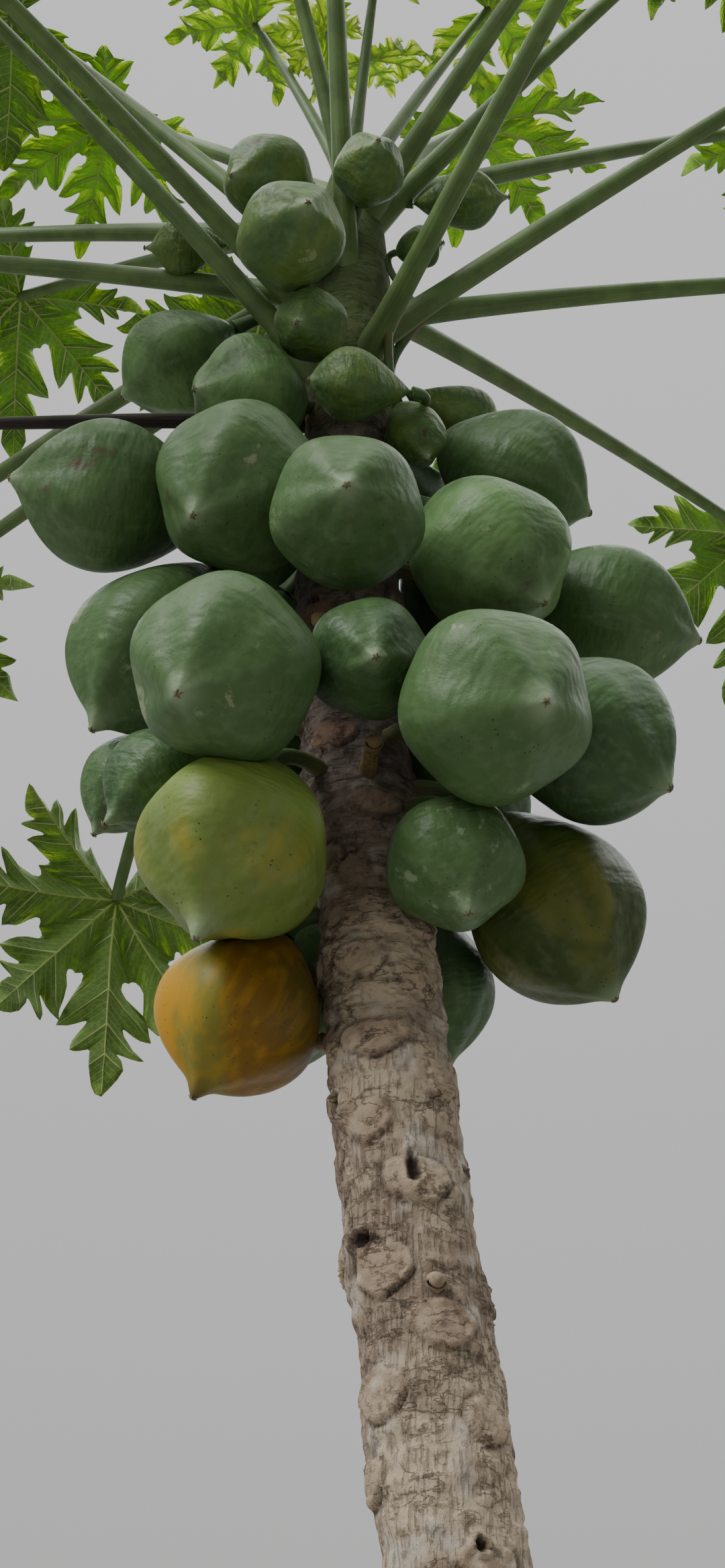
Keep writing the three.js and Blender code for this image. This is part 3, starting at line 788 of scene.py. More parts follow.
def grained(name, colour, dim, clouds, band, roughness, specular, bump=0):
    """A colour on a dimmer one, with the clouds' scale and detail and the band between them."""
    finish = Finish(name, roughness, specular)
    grain = finish.noise(finish.place, *clouds)
    finish.tint = scaled(colour, dim)
    finish.lay(finish.share(grain, *band), colour)
    return finish.done((grain, bump)) if bump else finish.done()


def stub_finish(fruit, stem):
    """Straw-coloured pegs with a paler ring and painted shade in the sunken end, bark brown below the
    fruit.
    """
    finish = Finish("stub", roughness=0.8, specular=0.3)
    grain = finish.noise(finish.place, (220, 220, 90))
    along = finish.attribute("along")
    finish.tint = dark = scaled(fruit.stub, 0.55)
    finish.lay(finish.share(grain, 0.35, 0.65), fruit.stub)
    finish.lay(finish.share(along, 0.45, 0.05), dark)
    ring = finish.mix(0.15, fruit.stub, fruit.scrape)
    finish.lay(finish.share(along, 0.80, 0.90), ring)
    dry = finish.share(finish.part(finish.place, "Z"), FRUIT_ZONE, FRUIT_ZONE - 0.2)
    bark_brown = finish.mix(finish.share(grain, 0.40, 0.60), stem.dark, stem.scar)
    finish.lay(dry, bark_brown, 0.85)
    # Painted shade in the sunken end of the stub
    finish.lay(finish.share(along, 0.915, 0.96), fruit.freckle_and_hollow_shade)
    return finish.done((grain, 0.0010))


def blade_side(name, colour, look, roughness, veined):
    """One side of a blade: green, with its fine side veins and the net between them."""
    finish = Finish(name, roughness=roughness, specular=0.3)
    net = finish.cells(finish.place, 190)
    cloud = finish.noise(finish.place, 14)
    beside = finish.part(finish.attribute("lines", "Vector"), "X")
    off_line = finish.sum("SUBTRACT", finish.sum("FRACT", beside), 0.5)
    fine = finish.share(finish.sum("ABSOLUTE", off_line), 0.10, 0.03)
    pale = tuple(c + veined * (v - c) for c, v in zip(colour, look.vein))
    finish.tint = scaled(colour, 0.72)
    finish.lay(finish.share(cloud, 0.38, 0.62), colour)
    finish.lay(finish.share(net, 0.45, 0.75), pale, 0.3)
    finish.lay(fine, pale, 0.75)
    finish.shader["Subsurface Weight"].default_value = 0.5
    finish.shader["Subsurface Radius"].default_value = (0.85, 1.0, 0.3)
    finish.shader["Subsurface Scale"].default_value = 0.004
    return finish.done((fine, 0.0008, 0.6), (net, 0.0006, 0.5))


def stalk_finish(name, look, colour, root, roughness, root_share=0.16):
    """Fine lines along a stalk, flecks, a painted highlight along its upper side, and another colour
    at its foot.
    """
    finish = Finish(name, roughness=roughness, specular=0.4)
    lines = finish.noise(finish.attribute("run", "Vector"), (9, 9, 5), 4)
    cloud = finish.noise(finish.place, 26, 4)
    fleck = finish.noise(finish.place, 190)
    finish.tint = deep = scaled(colour, 0.72)
    finish.lay(finish.share(cloud, 0.38, 0.64), colour)
    finish.lay(finish.share(lines, 0.50, 0.68), look.vein, 0.12)
    finish.lay(finish.share(finish.attribute("along"), root_share, 0), root)
    # Painted highlight: the upper side of the stalk is laid paler
    pale = finish.mix(0.2, finish.tint, look.vein)
    finish.lay(finish.share(finish.attribute("around"), 0.55, 0.95), pale)
    finish.lay(finish.share(fleck, 0.66, 0.74), deep, 0.6)
    return finish.done((lines, 0.0008, 0.6))


# Stem

def stem_rows():
    """Heights of the stem mesh's rings."""
    parts = [np.arange(low, high - step / 2, step) for low, high, step in RING_STEPS]
    return np.concatenate([*parts, [STEM_TOP]])


def turned(bearing, other):
    """How far apart two bearings are, from 0 to 180."""
    return abs((bearing - other + 180) % 360 - 180)


def scars_and_pits(look):
    """Bearing, height, half width and half height of every leaf scar and of every pit."""
    chance = np.random.default_rng(11)
    scars = list(SEEN_SCARS)
    pits = list(SEEN_PITS)
    height, last = SCAR_HEIGHTS
    bearing = 0.0
    while height < last:
        free = all(
            abs(height - other[1]) > 0.044 or turned(bearing, other[0]) > 50 for other in scars)
        broad = 1.12 if height > BROAD_SCARS else chance.uniform(0.9, 1.12)
        low = 0.85 if height > BROAD_SCARS else chance.uniform(0.9, 1.15)
        pitted = chance.random() < 0.3
        if free:
            scars.append((bearing, height, 0.026 * broad, 0.020 * low))
            if pitted:
                side = bearing + chance.uniform(-12, 12)
                pits.append((side, height + 0.016, chance.uniform(0.005, 0.008), 0.007, 0.005))
        height += look.scar_pitch * chance.uniform(0.88, 1.12)
        bearing += SPIRAL_TURN + chance.uniform(-7, 7)
    return scars, pits


def offsets(turn, height, mark, reach):
    """Which vertices are near a mark, and how far across and above it they are."""
    bearing, middle, _, half_height = mark[:4]
    near = np.abs(height - middle) < reach * half_height
    gap = (turn[near] - math.radians(bearing) + math.pi) % (2 * math.pi) - math.pi
    return near, gap * stem_radius(height[near]), height[near] - middle


def marks_relief(turn, height, look):
    """Outward relief, scar share, and share of the dark cracks round the leaf scars with painted
    shadow under them and painted shade in the pits.
    """
    relief = np.zeros_like(height)
    scar = np.zeros_like(height)
    crease = np.zeros_like(height)
    spot = np.stack([np.sin(turn) * 0.065, np.cos(turn) * 0.065, height], axis=1)
    wobble = noise(spot * 42, 5)
    ragged = noise(spot * 120, 8)
    broken = smooth_share(noise(spot * 38, 9), -0.25, 0.25)
    scars, pits = scars_and_pits(look)
    for mark in scars:
        near, across, up = offsets(turn, height, mark, 4)
        _, middle, half_width, half_height = mark
        taper = 1 + 0.30 * np.clip(up / half_height, -1, 1)
        far = np.hypot(across / (half_width * taper), up / half_height)
        far += 0.17 * wobble[near] + 0.05 * ragged[near]
        inside = smooth_share(far, 1.04, 0.92)
        lower = smooth_share(up, half_height, -half_height)
        calm = 0.5 if middle > BROAD_SCARS else 1
        stand = look.scar_stand * calm
        rim = np.exp(-((far - 0.92) / 0.10) ** 2)
        folds = np.cos(far * 15 + 4 * ragged[near]) * SCAR_FOLD * inside * calm
        relief[near] += inside * stand * (0.1 + 0.9 * lower) + rim * SCAR_RIM + folds
        relief[near] += look.swelling * calm * np.exp(-(far / 1.5) ** 2)
        edge = np.exp(-((far - 1.12) / 0.08) ** 2) * (0.3 + 0.7 * broken[near])
        relief[near] -= SCAR_GROOVE * edge
        scar[near] = np.maximum(scar[near], inside)
        # Dark crack round the scar, heavier under its raised lower edge as a painted shadow
        crease[near] = np.maximum(crease[near], edge * calm * (0.45 + 0.3 * lower))
    for mark in pits:
        near, across, up = offsets(turn, height, mark, 4)
        _, _, half_width, half_height, rim = mark
        far = np.hypot(across / half_width, up / half_height) + 0.32 * wobble[near]
        far += 0.30 * ragged[near]
        relief[near] += rim * np.exp(-((far - 1.35) / 0.42) ** 2)
        hollow = smooth_share(far, 1.1, 0.45)
        relief[near] -= PIT_DEPTH * hollow
        # Painted shade in the hollow of the pit
        pit_shade = smooth_share(far, 1.25, 0.75) * (0.85 + 0.15 * ragged[near])
        crease[near] = np.maximum(crease[near], pit_shade)
    return relief, scar, crease


def stem_mesh(look):
    """The whole stem as one sheet, wrapped, given its relief and closed."""
    rows = stem_rows()
    sheet, column, row = grid(STEM_SEGMENTS, len(rows) - 1)
    height = rows[row]
    turn = 2 * math.pi * column / STEM_SEGMENTS    # a bearing, so 0 faces the viewer
    turn = np.where(column == STEM_SEGMENTS, 0, turn)
    cad_turn = turn - math.pi / 2                  # the flare's ribs are counted from +X
    fall = np.exp(-height / FLARE_HEIGHT)
    rib = 1 + FLARE_RIB_DEPTH * fall * np.cos(FLARE_RIBS * cad_turn)
    radius = (stem_radius(height) + FLARE_WIDTH / 2 * fall) * rib
    outward = np.stack([np.sin(turn), -np.cos(turn), np.zeros_like(turn)], axis=1)
    skin = stem_axis(height) + outward * radius[:, None]
    relief, scar, crease = marks_relief(turn, height, look)
    plain = 1 - 0.75 * scar
    relief += look.lump_depth * noise(skin * (17, 17, 14), 1)
    level = noise(skin * (30, 30, 110), 2) + 0.6 * noise(skin * (60, 60, 230), 3)
    relief += look.wrinkle_depth * level * plain * (1 + smooth_share(height, *FOLDED))
    relief += GRAIN_DEPTH * noise(skin * (95, 95, 75), 4)
    knots = np.clip(noise(skin * (40, 40, 38), 6) - 0.30, 0, 1)
    relief += KNOT_HEIGHT * knots * plain
    calm = smooth_share(height, *SMOOTH_TIP) * smooth_share(height, 0, 0.01)
    relief *= calm
    set_corners(sheet.data, skin + outward * relief[:, None])
    set_attribute(sheet.data, "scar", scar * calm)
    set_attribute(sheet.data, "crease", np.clip(crease, 0, 1) * calm)
    edit(sheet, weld(), close_holes, outwards)
    return sheet


def stub(bearing, height, length, rise):
    """What is left of a fruit stalk: a short, slightly bent peg with a sunken end."""
    foot = stem_axis(height) + direction(bearing) * (stem_radius(height) - STUB_SUNK)
    way = direction(bearing, rise) * (length + STUB_SUNK)
    bow = direction(bearing, rise + 90) * 0.10 * length
    share, radii = zip(*STUB_PROFILE)
    points = [foot + way * s + bow * math.sin(math.pi * s) for s in share]
    return with_run(tube(points, radii, resolution=6), points)


# Fruit

def fruit_axes(row):
    """Where a fruit's shoulder is, and its aim and two axes across it."""
    facing = row.bearing if row.facing is None else row.facing
    aim = direction(facing, -row.hang)
    centre = stem_axis(row.height) + direction(row.bearing) * row.reach
    shoulder = centre - aim * row.length * 0.5 ** (1 / row.pear)
    lay = Vector((0, 1, 0)).rotation_difference(Vector(aim))
    return shoulder, aim, np.array(lay @ Vector((1, 0, 0))), np.array(lay @ Vector((0, 0, 1)))


def fruit_body(row, number, detail, look):
    """A pear with five ridges that run into its point, slightly uneven."""
    deselect()
    bpy.ops.mesh.primitive_uv_sphere_add(segments=detail[0], ring_count=detail[1], radius=1)
    fruit = bpy.context.object
    ball = corners(fruit.data)
    along = (1 - ball[:, 2]) / 2
    turn = np.arctan2(ball[:, 0], ball[:, 1])
    seed = np.array([number * 5.3, number * 2.9, 0])
    ridge = look.ridge * (1 + 2 * smooth_share(along, 0.60, 0.97))
    swell = np.sin(math.pi * along ** row.pear).clip(0, 1) ** FULLNESS
    dent = look.unevenness / row.width * 2 * noise(ball * 1.6 + seed, 7)
    radius = row.width / 2 * swell * (1 + ridge * np.cos(RIDGES * turn) + dent)
    low = along > 0.5
    point = row.point * look.nipple * np.exp(-(radius / (0.065 * row.width)) ** 2) * low
    dimple = 0.05 * row.width * np.exp(-(radius / (0.11 * row.width)) ** 2) * ~low
    shoulder, aim, right, up = fruit_axes(row)
    depth = along * row.length + point + dimple
    sides = np.sin(turn)[:, None] * right + np.cos(turn)[:, None] * up
    set_corners(fruit.data, shoulder + depth[:, None] * aim + radius[:, None] * sides)
    own = np.stack([radius * np.sin(turn), radius * np.cos(turn), depth], axis=1) / row.width
    set_attribute(fruit.data, "skin", own + seed)
    set_attribute(fruit.data, "tip", np.exp(-(radius / (0.085 * row.width)) ** 2) * low)
    return fruit


def press(bodies):
    """Flattens fruit where they press on each other, half of the depth on either side."""
    solids = []
    for body in bodies:
        spots = corners(body.data)
        faces = [tuple(face.vertices) for face in body.data.polygons]
        solids.append((spots, BVHTree.FromPolygons(spots.tolist(), faces)))
    for body, (spots, _) in zip(bodies, solids):
        pressed = spots.copy()
        for others, solid in solids:
            shared = (spots > others.min(axis=0)) & (spots < others.max(axis=0))
            if others is spots or not shared.all(axis=1).any():
                continue
            for i in np.flatnonzero(shared.all(axis=1)):
                surface, normal, _, depth = solid.find_nearest(spots[i])
                out = np.array(surface) - spots[i]
                if out @ np.array(normal) > 0:
                    pressed[i] += out * (0.5 + PRESS_GAP / depth)
        set_corners(body.data, pressed)


def fruit_stalk(row, root):
    """Short ribbed stalk from the stem to the fruit's shoulder."""
    shoulder, aim, _, _ = fruit_axes(row)
    gap = np.linalg.norm(shoulder - root)
    end = shoulder + aim * 0.06 * row.width
    points = bent(root, shoulder - aim * 0.4 * gap, end, 10)
    share = np.linspace(0, 1, 11)
    thin = PEDUNCLE_WIDTH / 2 * min(1, 0.5 + 5 * (row.width - 0.05))
    flare = 0.6 * min(1, (row.width / 0.16) ** 2)
    radii = thin * (1 + 0.5 * np.exp(-share * 6) + flare * np.exp(-(1 - share) * 9))
    return with_run(tube(points, radii, resolution=3), points)


def flower_scar(row, nipple):
    """Dried star of the flower's foot, on the fruit's point."""
    deselect()
    bpy.ops.mesh.primitive_circle_add(vertices=20, radius=1, fill_type="TRIFAN")
    star = bpy.context.object
    flat = corners(star.data)
    turn = np.arctan2(flat[:, 0], flat[:, 1])
    arm = np.hypot(flat[:, 0], flat[:, 1]) * (0.62 + 0.38 * np.cos(5 * turn))
    shoulder, aim, right, up = fruit_axes(row)
    size = 0.0034 + 0.011 * row.width
    sides = np.sin(turn)[:, None] * right + np.cos(turn)[:, None] * up
    tip = shoulder + aim * (row.length + row.point * nipple)
    sunk = size * 0.55 * arm[:, None] ** 2 - 0.0006
    set_corners(star.data, tip + sides * (arm * size)[:, None] - aim * sunk)
    thicken = star.modifiers.new("thicken", "SOLIDIFY")
    thicken.thickness = 0.0012
    thicken.offset = 0
    bpy.ops.object.modifier_apply(modifier=thicken.name)
    edit(star, outwards)
    return star


# Leaves

def petiole_points(row):
    """Points along a leaf stalk, from the stem's axis to the centre of the blade."""
    point = stem_axis(row.height)
    points = [point]
    step = (row.length + stem_radius(row.height)) / PETIOLE_STEPS
    for i in range(PETIOLE_STEPS):
        angle = row.rise - row.fall * (i + 0.5) / PETIOLE_STEPS
        point = point + direction(row.bearing, angle) * step
        points.append(point)
    return np.array(points)


def petiole_radii(row):
    share = np.linspace(0, 1, PETIOLE_STEPS + 1)
    outside = share * (row.length + stem_radius(row.height)) - stem_radius(row.height)
    plain = PETIOLE_WIDTH + (PETIOLE_TIP_WIDTH - PETIOLE_WIDTH) * share
    collar = (PETIOLE_ROOT_WIDTH - PETIOLE_WIDTH) * np.exp(-outside.clip(0) / COLLAR_LENGTH)
    return (plain + collar) / 2 * row.stout


def with_run(limb, points):
    """Keeps with each vertex of a limb its share of the way and its place across the limb."""
    spots = corners(limb.data)
    steps = np.linalg.norm(np.diff(points, axis=0), axis=1)
    way = np.concatenate([[0], np.cumsum(steps)])
    nearest = np.argmin(
        ((spots[:, None, :] - np.asarray(points)[None]) ** 2).sum(axis=2), axis=1)
    heading = np.gradient(np.asarray(points), axis=0)
    heading /= np.linalg.norm(heading, axis=1)[:, None]
    off = spots - np.asarray(points)[nearest]
    off -= (off * heading[nearest]).sum(axis=1)[:, None] * heading[nearest]
    side = np.cross(heading[nearest], (0, 0, 1))
    side /= np.linalg.norm(side, axis=1)[:, None] + 1e-9
    size = np.linalg.norm(off, axis=1) + 1e-9
    right = (off * side).sum(axis=1) / size
    top = off[:, 2] / size
    set_attribute(limb.data, "along", way[nearest] / way[-1])
    set_attribute(limb.data, "around", top * 0.5 + 0.5)
    seed = float(np.asarray(points)[-1].sum()) * 3
    set_attribute(limb.data, "run", np.stack([right + seed, top, way[nearest] * 2], axis=1))
    return limb


def leaf_node(number):
    """The name of a leaf's solid."""
    return f"leaf_{number + 1:02}"


def leaf_stalk(row):
    points = petiole_points(row)
    return with_run(tube(points, petiole_radii(row), resolution=5), points)


def rib_lines(spread, depth, length):
    """Side veins and lines between them on one half of a lobe, from the centre to the tip.

    Each line is its start on the rib, its length and whether the strip to the next is a vein.
    """
    slant = math.radians(VEIN_SLANT)
    half = math.radians(spread)
    bay_start = depth * math.sin(slant - half) / math.sin(slant)
    bay_length = depth * math.sin(half) / math.sin(slant)
    lines = [(0, 0, False)]
    for share in (0.17, *INNER_VEINS, 0.5, 0.87):
        lines.append((share * bay_start, share * bay_length, share in INNER_VEINS))
    for share, reach in LOBE_EDGE:
        edge = reach * length + (bay_length - LOBE_EDGE[0][1] * length) * max(0, 1 - share / 0.15)
        lines.append((bay_start + share * (length - bay_start), edge, share in SIDE_VEINS))
    return sorted(lines)


def half_lobe(bearing, side, spread, depth, length, uneven, finishes):
    """One half of a lobe of a flat blade one unit long, as a sheet between rib and edge."""
    rows = []
    for start, reach, vein in rib_lines(spread, depth, length):
        if vein:
            rows.append((start, reach, -VEIN_WIDTH / 2, True))
            rows.append((start, reach, VEIN_WIDTH / 2, False))
        else:
            rows.append((start, reach, 0, False))
    columns = 4
    sheet, column, row = grid(columns, len(rows) - 1)
    start, reach, shift, vein = (np.array(values, float) for values in zip(*rows))
    beyond = smooth_share(start / length, 0.35, 0.5) * smooth_share(start / length, 1, 0.8)
    reach *= 1 + uneven * beyond
    slant = math.radians(VEIN_SLANT)
    bay_start = depth * math.sin(slant - math.radians(spread)) / math.sin(slant)
    rib = RIB_WIDTH / 2 * (1 - 0.8 * start / length) / math.sin(slant)
    first = np.minimum(0.3, rib / np.maximum(reach, 1e-6))
    step = (column - 1).clip(0) / (columns - 1)
    share = np.where(column == 0, 0, first[row] + (1 - first[row]) * step)
    in_bay = start[row] < bay_start
    x = start[row] + share * reach[row] * math.cos(slant)
    x += shift[row] * np.where(in_bay, 1 - share, 1 - 0.75 * share)
    y = share * reach[row] * math.sin(slant)
    turn = math.radians(bearing)
    forward = x * math.cos(turn) - side * y * math.sin(turn)
    sideways = x * math.sin(turn) + side * y * math.cos(turn)
    mesh = sheet.data
    for finish in finishes:
        mesh.materials.append(finish)
    middles = np.zeros(len(mesh.polygons) * 3)
    mesh.polygons.foreach_get("center", middles)
    middles = middles.reshape(-1, 3)
    cell_column = np.floor((middles[:, 0] + 0.5) * columns).astype(int)
    cell_row = np.floor((middles[:, 1] + 0.5) * (len(rows) - 1)).astype(int)
    is_vein = (cell_column == 0) | (vein[cell_row] > 0)
    mesh.polygons.foreach_set("material_index", is_vein.astype(np.int32))
    set_corners(mesh, np.stack([forward, sideways, np.zeros_like(x)], axis=1))
    set_attribute(mesh, "edge", share)
    beside = np.stack([start[row] * FINE_VEINS, share, np.zeros_like(share)], axis=1)
    set_attribute(mesh, "lines", beside)
    on_vein = (shift[row] != 0) & (share < 0.9)
    weight = np.where(column <= 0, 1 - 0.75 * start[row] / length, np.where(on_vein, 0.42, 0))
    set_attribute(mesh, "ridge", weight)
    if side > 0:
        edit(sheet, bpy.ops.mesh.flip_normals)
    return sheet


def flat_blade(finishes, look):
    """A flat blade one unit long, thick at its ribs, modelled once for every leaf."""
    halves = []
    chance = np.random.default_rng(3)
    last = len(LOBE_BEARINGS) - 1
    for lobe, (bearing, length) in enumerate(zip(LOBE_BEARINGS, LOBE_LENGTHS)):
        for side in (-1, 1):
            beside = lobe + side
            if 0 <= beside <= last:
                spread = abs(LOBE_BEARINGS[beside] - bearing) / 2
                depth = SINUS_DEPTH
            else:
                spread = BASE_SPREAD
                depth = BASE_DEPTH
            uneven = chance.uniform(-0.15, 0.15)
            halves.append(half_lobe(bearing, side, spread, depth, length, uneven, finishes))
    blade = join("flat_blade", halves)
    edit(blade, weld(0.0006))
    ribs = blade.vertex_groups.new(name="ribs")
    for i, weight in enumerate(attribute_values(blade.data, "ridge")):
        ribs.add([i], float(weight), "REPLACE")
    thicken = blade.modifiers.new("thicken", "SOLIDIFY")
    thicken.thickness = look.rib_depth / FULL_BLADE
    thicken.thickness_vertex_group = look.thickness / look.rib_depth
    thicken.vertex_group = ribs.name
    thicken.offset = -1
    thicken.material_offset = 2
    bpy.ops.object.modifier_apply(modifier=thicken.name)
    return blade


def leaf_blade(flat, row, number, finishes, look):
    """A copy of the flat blade, drooped, folded and waved, at the end of its stalk."""
    blade = flat.copy()
    blade.data = flat.data.copy()
    bpy.context.collection.objects.link(blade)
    for i, finish in enumerate(finishes):
        blade.data.materials[i] = finish
    chance = np.random.default_rng(100 + number)
    flat_spots = corners(blade.data)
    x, y, layer = flat_spots.T
    out = np.hypot(x, y)
    bearing = np.degrees(np.arctan2(y, x))
    lobe = np.argmin(np.abs(bearing[:, None] - np.array(LOBE_BEARINGS)), axis=1)
    off = np.radians(bearing - np.array(LOBE_BEARINGS)[lobe])
    edge = attribute_values(blade.data, "edge")
    free = smooth_share(out, 0.36, 1.0)
    droop = 1 + look.variety * chance.uniform(-0.9, 1.0, len(LOBE_BEARINGS))[lobe] * free
    twist = look.variety * chance.uniform(-0.7, 0.7, len(LOBE_BEARINGS))[lobe] * free
    phase = chance.uniform(0, 6, len(LOBE_BEARINGS))[lobe]
    fold = BLADE_FOLD * edge * np.exp(-(np.clip(out - SINUS_DEPTH, 0, 1) / 0.3) ** 2)
    fold *= smooth_share(out, 0, 0.3)
    wave = look.wave / row.blade * edge ** 2 * np.sin(out * 24 + phase)
    wave *= smooth_share(out, 0.2, 0.5)
    lift = fold + wave + twist * out * np.sin(off) - BLADE_DROOP * droop * out ** 2
    centre = petiole_points(row)[-1]
    rise = row.rise - row.fall - row.nod
    forward = direction(row.bearing, rise)
    up = direction(row.bearing, rise + 90)
    across = np.cross(up, forward)
    axes = np.stack([forward, across, up])
    spots = np.stack([x, y, layer + lift], axis=1) * row.blade
    set_corners(blade.data, centre + spots @ axes)
    return blade


# Operators

class PAPAYA_OT_stem(bpy.types.Operator):
    """Makes the stem with its leaf scars, wrinkles and root flare"""

    bl_idname = "papaya.stem"
    bl_label = "Stem"

    def execute(self, context):
        look = context.scene.papaya_stem
        hand_over("stem_bark", [stem_mesh(look)], ["stem"], bark(look))
        return {"FINISHED"}


class PAPAYA_OT_stubs(bpy.types.Operator):
    """Makes the stubs of fallen fruit stalks on the stem"""

    bl_idname = "papaya.stubs"
    bl_label = "Stalk stubs"

    def execute(self, context):
        finish = stub_finish(context.scene.papaya_fruit, context.scene.papaya_stem)
        hand_over("stalk_stubs", [stub(*row) for row in STUBS], ["stem"], finish)
        return {"FINISHED"}


class PAPAYA_OT_fruit(bpy.types.Operator):
    """Makes the large fruit, joined by the colour of their skin"""

    bl_idname = "papaya.fruit"
    bl_label = "Large fruit"

    def execute(self, context):
        look = context.scene.papaya_fruit
        blush = tuple(0.3 * (y + o) for y, o in zip(look.yellow, look.olive))
        skins = {
            "green": ("green_fruit", look.green, look.dark_green, 0.1),
            # The lighter green skins are the green skin with painted light, for fruit that stand in
            # the light
            "bright": ("green_fruit", look.lit_green, look.green, 0.45),
            "pale": ("green_fruit", look.well_lit_green, look.lit_green, 0.3),
            "scuffed": ("green_fruit", look.lit_green, look.green, 0.8),
            "turning": (
                "turning_fruit", look.olive, scaled(look.olive, 0.8), 0.3, look.yellow, 0.45),
            "blushed": ("turning_fruit", look.shade, scaled(look.shade, 0.75), 0.1, blush, 0.5),
        }
        finishes = {kind: fruit_skin(kind + "_skin", look, *row[1:]) for kind, row in skins.items()}
        finishes["ripe"] = ripe_skin(look)
        bodies = [fruit_body(row, number, FRUIT_DETAIL, look) for number, row in enumerate(FRUITS)]
        press(bodies)
        groups = {}
        for row, body in zip(FRUITS, bodies):
            body.data.materials.append(finishes[row.skin])
            slot = skins[row.skin][0] if row.skin in skins else "ripe_fruit"
            groups.setdefault(slot, []).append((body, row.name))
        for slot in ("green_fruit", "turning_fruit", "ripe_fruit"):
            parts, nodes = zip(*groups[slot])
            hand_over(slot + "_skins", parts, nodes)
        return {"FINISHED"}


class PAPAYA_OT_young_fruit(bpy.types.Operator):
    """Makes the young fruit beside the leaf stalks"""

    bl_idname = "papaya.young_fruit"
    bl_label = "Young fruit"

    def execute(self, context):
        look = context.scene.papaya_fruit
        bodies = []
        nodes = []
        for number, row in enumerate(LEAVES):
            for young in row.young:
                bodies.append(fruit_body(young, 40 + len(bodies), YOUNG_DETAIL, look))
                nodes.append(leaf_node(number))
        skin = fruit_skin("young_skin", look, look.young, look.green, 0.35)
        hand_over("young_fruit", bodies, nodes, skin)
        return {"FINISHED"}


class PAPAYA_OT_fruit_stalks(bpy.types.Operator):
    """Makes the stalks that the fruit hang from and the dried stars at their points"""

    bl_idname = "papaya.fruit_stalks"
    bl_label = "Fruit stalks and flower scars"

    def execute(self, context):
        leaf = context.scene.papaya_leaf
        look = context.scene.papaya_fruit
        names = [row.name for row in FRUITS]
        stalks = []
        for row in FRUITS:
            shoulder = fruit_axes(row)[0]
            height = shoulder[2] + PEDUNCLE_RISE
            toward = unit((shoulder - stem_axis(height)) * (1, 1, 0))
            root = stem_axis(height) + toward * (stem_radius(height) - STALK_SUNK)
            stalks.append(fruit_stalk(row, root))
        for row in LEAVES:
            for young in row.young:
                root = petiole_points(row)[PETIOLE_STEPS // 8]
                if young.root is not None:
                    height = fruit_axes(young)[0][2] + PEDUNCLE_RISE
                    out = stem_radius(height) - YOUNG_STALK_SUNK
                    root = stem_axis(height) + direction(young.root) * out
                stalks.append(fruit_stalk(young, root))
        skin = stalk_finish("fruit_stalk", leaf, look.green, look.stalk_root, 0.55, root_share=0.6)
        hand_over("fruit_stalks", stalks, names, skin)
        young = [fruit for row in LEAVES for fruit in row.young]
        stars = [flower_scar(row, look.nipple) for row in (*FRUITS, *young)]
        dried = grained("dried_flower", look.dried, 0.35, (500,), (0.35, 0.60), 0.9, 0.2, 0.0008)
        hand_over("flower_scars", stars, names, dried)
        return {"FINISHED"}


class PAPAYA_OT_leaf_stalks(bpy.types.Operator):
    """Makes the long leaf stalks and the dead one"""

    bl_idname = "papaya.leaf_stalks"
    bl_label = "Leaf stalks"

    def execute(self, context):
        look = context.scene.papaya_leaf
        nodes = [leaf_node(i) for i in range(len(LEAVES))]
        finish = stalk_finish("leaf_stalk", look, look.stalk, look.stalk_root, 0.5)
        hand_over("leaf_stalks", [leaf_stalk(row) for row in LEAVES], nodes, finish)
        finish = stalk_finish("dead_stalk", look, look.dead, look.dead, 0.75)
        hand_over(
            "dead_stalk", [leaf_stalk(DEAD_STALK)], ["dead_leaf_stalk"], finish)
        return {"FINISHED"}


class PAPAYA_OT_leaf_blades(bpy.types.Operator):
    """Makes the seven-lobed blades, joined in two pieces from the lowest up"""

    bl_idname = "papaya.leaf_blades"
    bl_label = "Leaf blades"

    def execute(self, context):
        look = context.scene.papaya_leaf
        vein = grained("vein", look.vein, 0.85, (60, 2), (0.35, 0.65), 0.5, 0.4)
        tones = {}
        for tone in ("old", "grown", "young"):
            top = blade_side(tone + "_top", getattr(look, tone + "_top"), look, 0.55, 0.22)
            under = blade_side(tone + "_under", getattr(look, tone + "_under"), look, 0.65, 0.4)
            tones[tone] = (top, vein, under, vein)
        flat = flat_blade(tones["grown"], look)
        half = len(LEAVES) // 2
        for name, numbers in (
                ("lower_blades", range(half)), ("upper_blades", range(half, len(LEAVES)))):
            blades = [leaf_blade(flat, LEAVES[i], i, tones[LEAVES[i].tone], look) for i in numbers]
            hand_over(name, blades, [leaf_node(i) for i in numbers])
        bpy.data.objects.remove(flat)
        return {"FINISHED"}


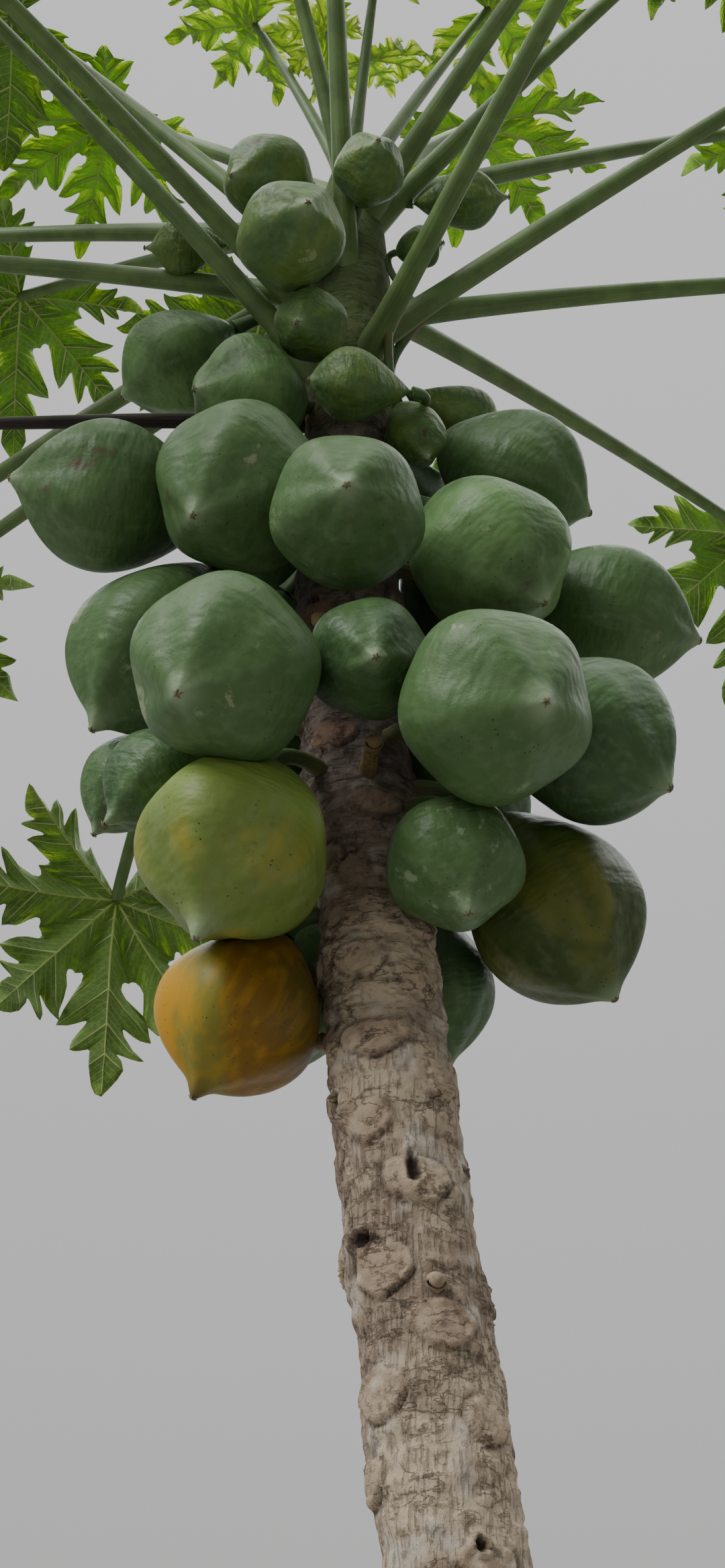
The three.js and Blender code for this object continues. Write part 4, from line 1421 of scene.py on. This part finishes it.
class PAPAYA_OT_stage(bpy.types.Operator):
    """Makes the floor, the lights and the camera"""

    bl_idname = "papaya.stage"
    bl_label = "Stage"

    def execute(self, context):
        look = context.scene.papaya_stage
        deselect()
        bpy.ops.mesh.primitive_circle_add(vertices=96, radius=60, fill_type="NGON")
        floor = context.object
        floor.name = "floor"
        floor.data.materials.append(
            grained("floor", look.floor, 0.94, (3,), (0.3, 0.7), 0.8, 0.2))
        self.soft_light("key", (-0.75, -0.70, 0.85), 30, look.key_strength)
        self.soft_light("top", (0.10, 0.15, 1), 90, look.top_strength)
        context.scene.world = self.world(look)
        deselect()
        bpy.ops.object.camera_add(
            location=look.camera_place, rotation=(math.pi / 2 + look.camera_pitch, 0, 0))
        camera = context.object
        camera.data.sensor_width = 36
        camera.data.lens = look.camera_lens
        camera.data.clip_end = 60
        context.scene.camera = camera
        return {"FINISHED"}

    def soft_light(self, name, source, spread, strength):
        """Even light from one side of the sky, spread over an angle in degrees."""
        bpy.ops.object.light_add(type="SUN", location=Vector(source) * 6)
        light = bpy.context.object
        light.name = name
        light.data.energy = strength
        light.data.angle = math.radians(spread)
        light.rotation_euler = (-Vector(source)).to_track_quat("-Z", "Y").to_euler()

    def world(self, look):
        """Light from all round: pale above and behind, dimmer below, in front and to the right."""
        world = bpy.data.worlds.new("studio")
        world.use_nodes = True
        sky = Nodes(world.node_tree)
        toward = sky.add("TexCoord").outputs["Generated"]
        height = sky.add("MapRange", {"Value": sky.part(toward, "Z"), "From Min": -1})
        colours = sky.add("ValToRGB", {"Fac": height.outputs["Result"]})
        ramp = colours.color_ramp
        level = ramp.elements.new(0.52)
        level.color = (*look.horizon, 1)
        for end, place, colour in ((0, 0.35, look.ground), (-1, 1, look.sky)):
            ramp.elements[end].position = place
            ramp.elements[end].color = (*colour, 1)
        rearward = sky.add("VectorMath", {0: toward, 1: (-0.45, 0.9, 0)})
        rearward.operation = "DOT_PRODUCT"
        depth = sky.add("MapRange", {
            "Value": rearward.outputs["Value"], "From Min": -0.7, "From Max": 0.3,
            "To Min": look.sky_strength * look.front_share, "To Max": look.sky_strength})
        background = world.node_tree.nodes["Background"]
        sky.put(background.inputs["Color"], colours.outputs["Color"])
        sky.put(background.inputs["Strength"], depth.outputs["Result"])
        return world


class PAPAYA_PT_tree(bpy.types.Panel):
    """Sizes and colours of the tree, and a button for each of its parts"""

    bl_idname = "PAPAYA_PT_tree"
    bl_label = "Papaya tree"
    bl_space_type = "VIEW_3D"
    bl_region_type = "UI"
    bl_category = "Papaya tree"

    def draw(self, context):
        for operator in OPERATORS:
            self.layout.operator(operator.bl_idname)
        for name in SETTINGS:
            settings = getattr(context.scene, name)
            box = self.layout.box()
            for key in settings.__annotations__:
                box.prop(settings, key)


OPERATORS = (
    PAPAYA_OT_stem,
    PAPAYA_OT_stubs,
    PAPAYA_OT_leaf_stalks,
    PAPAYA_OT_leaf_blades,
    PAPAYA_OT_fruit,
    PAPAYA_OT_young_fruit,
    PAPAYA_OT_fruit_stalks,
    PAPAYA_OT_stage,
)
SETTINGS = {
    "papaya_stem": PapayaStemSettings,
    "papaya_fruit": PapayaFruitSettings,
    "papaya_leaf": PapayaLeafSettings,
    "papaya_stage": PapayaStageSettings,
}


def register():
    for name, settings in SETTINGS.items():
        bpy.utils.register_class(settings)
        setattr(bpy.types.Scene, name, bpy.props.PointerProperty(type=settings))
    for operator in OPERATORS:
        bpy.utils.register_class(operator)
    bpy.utils.register_class(PAPAYA_PT_tree)


def unregister():
    bpy.utils.unregister_class(PAPAYA_PT_tree)
    for operator in reversed(OPERATORS):
        bpy.utils.unregister_class(operator)
    for name, settings in SETTINGS.items():
        delattr(bpy.types.Scene, name)
        bpy.utils.unregister_class(settings)


def main():
    register()
    for operator in OPERATORS:
        group, name = operator.bl_idname.split(".")
        getattr(getattr(bpy.ops, group), name)()


if __name__ == "__main__":
    main()
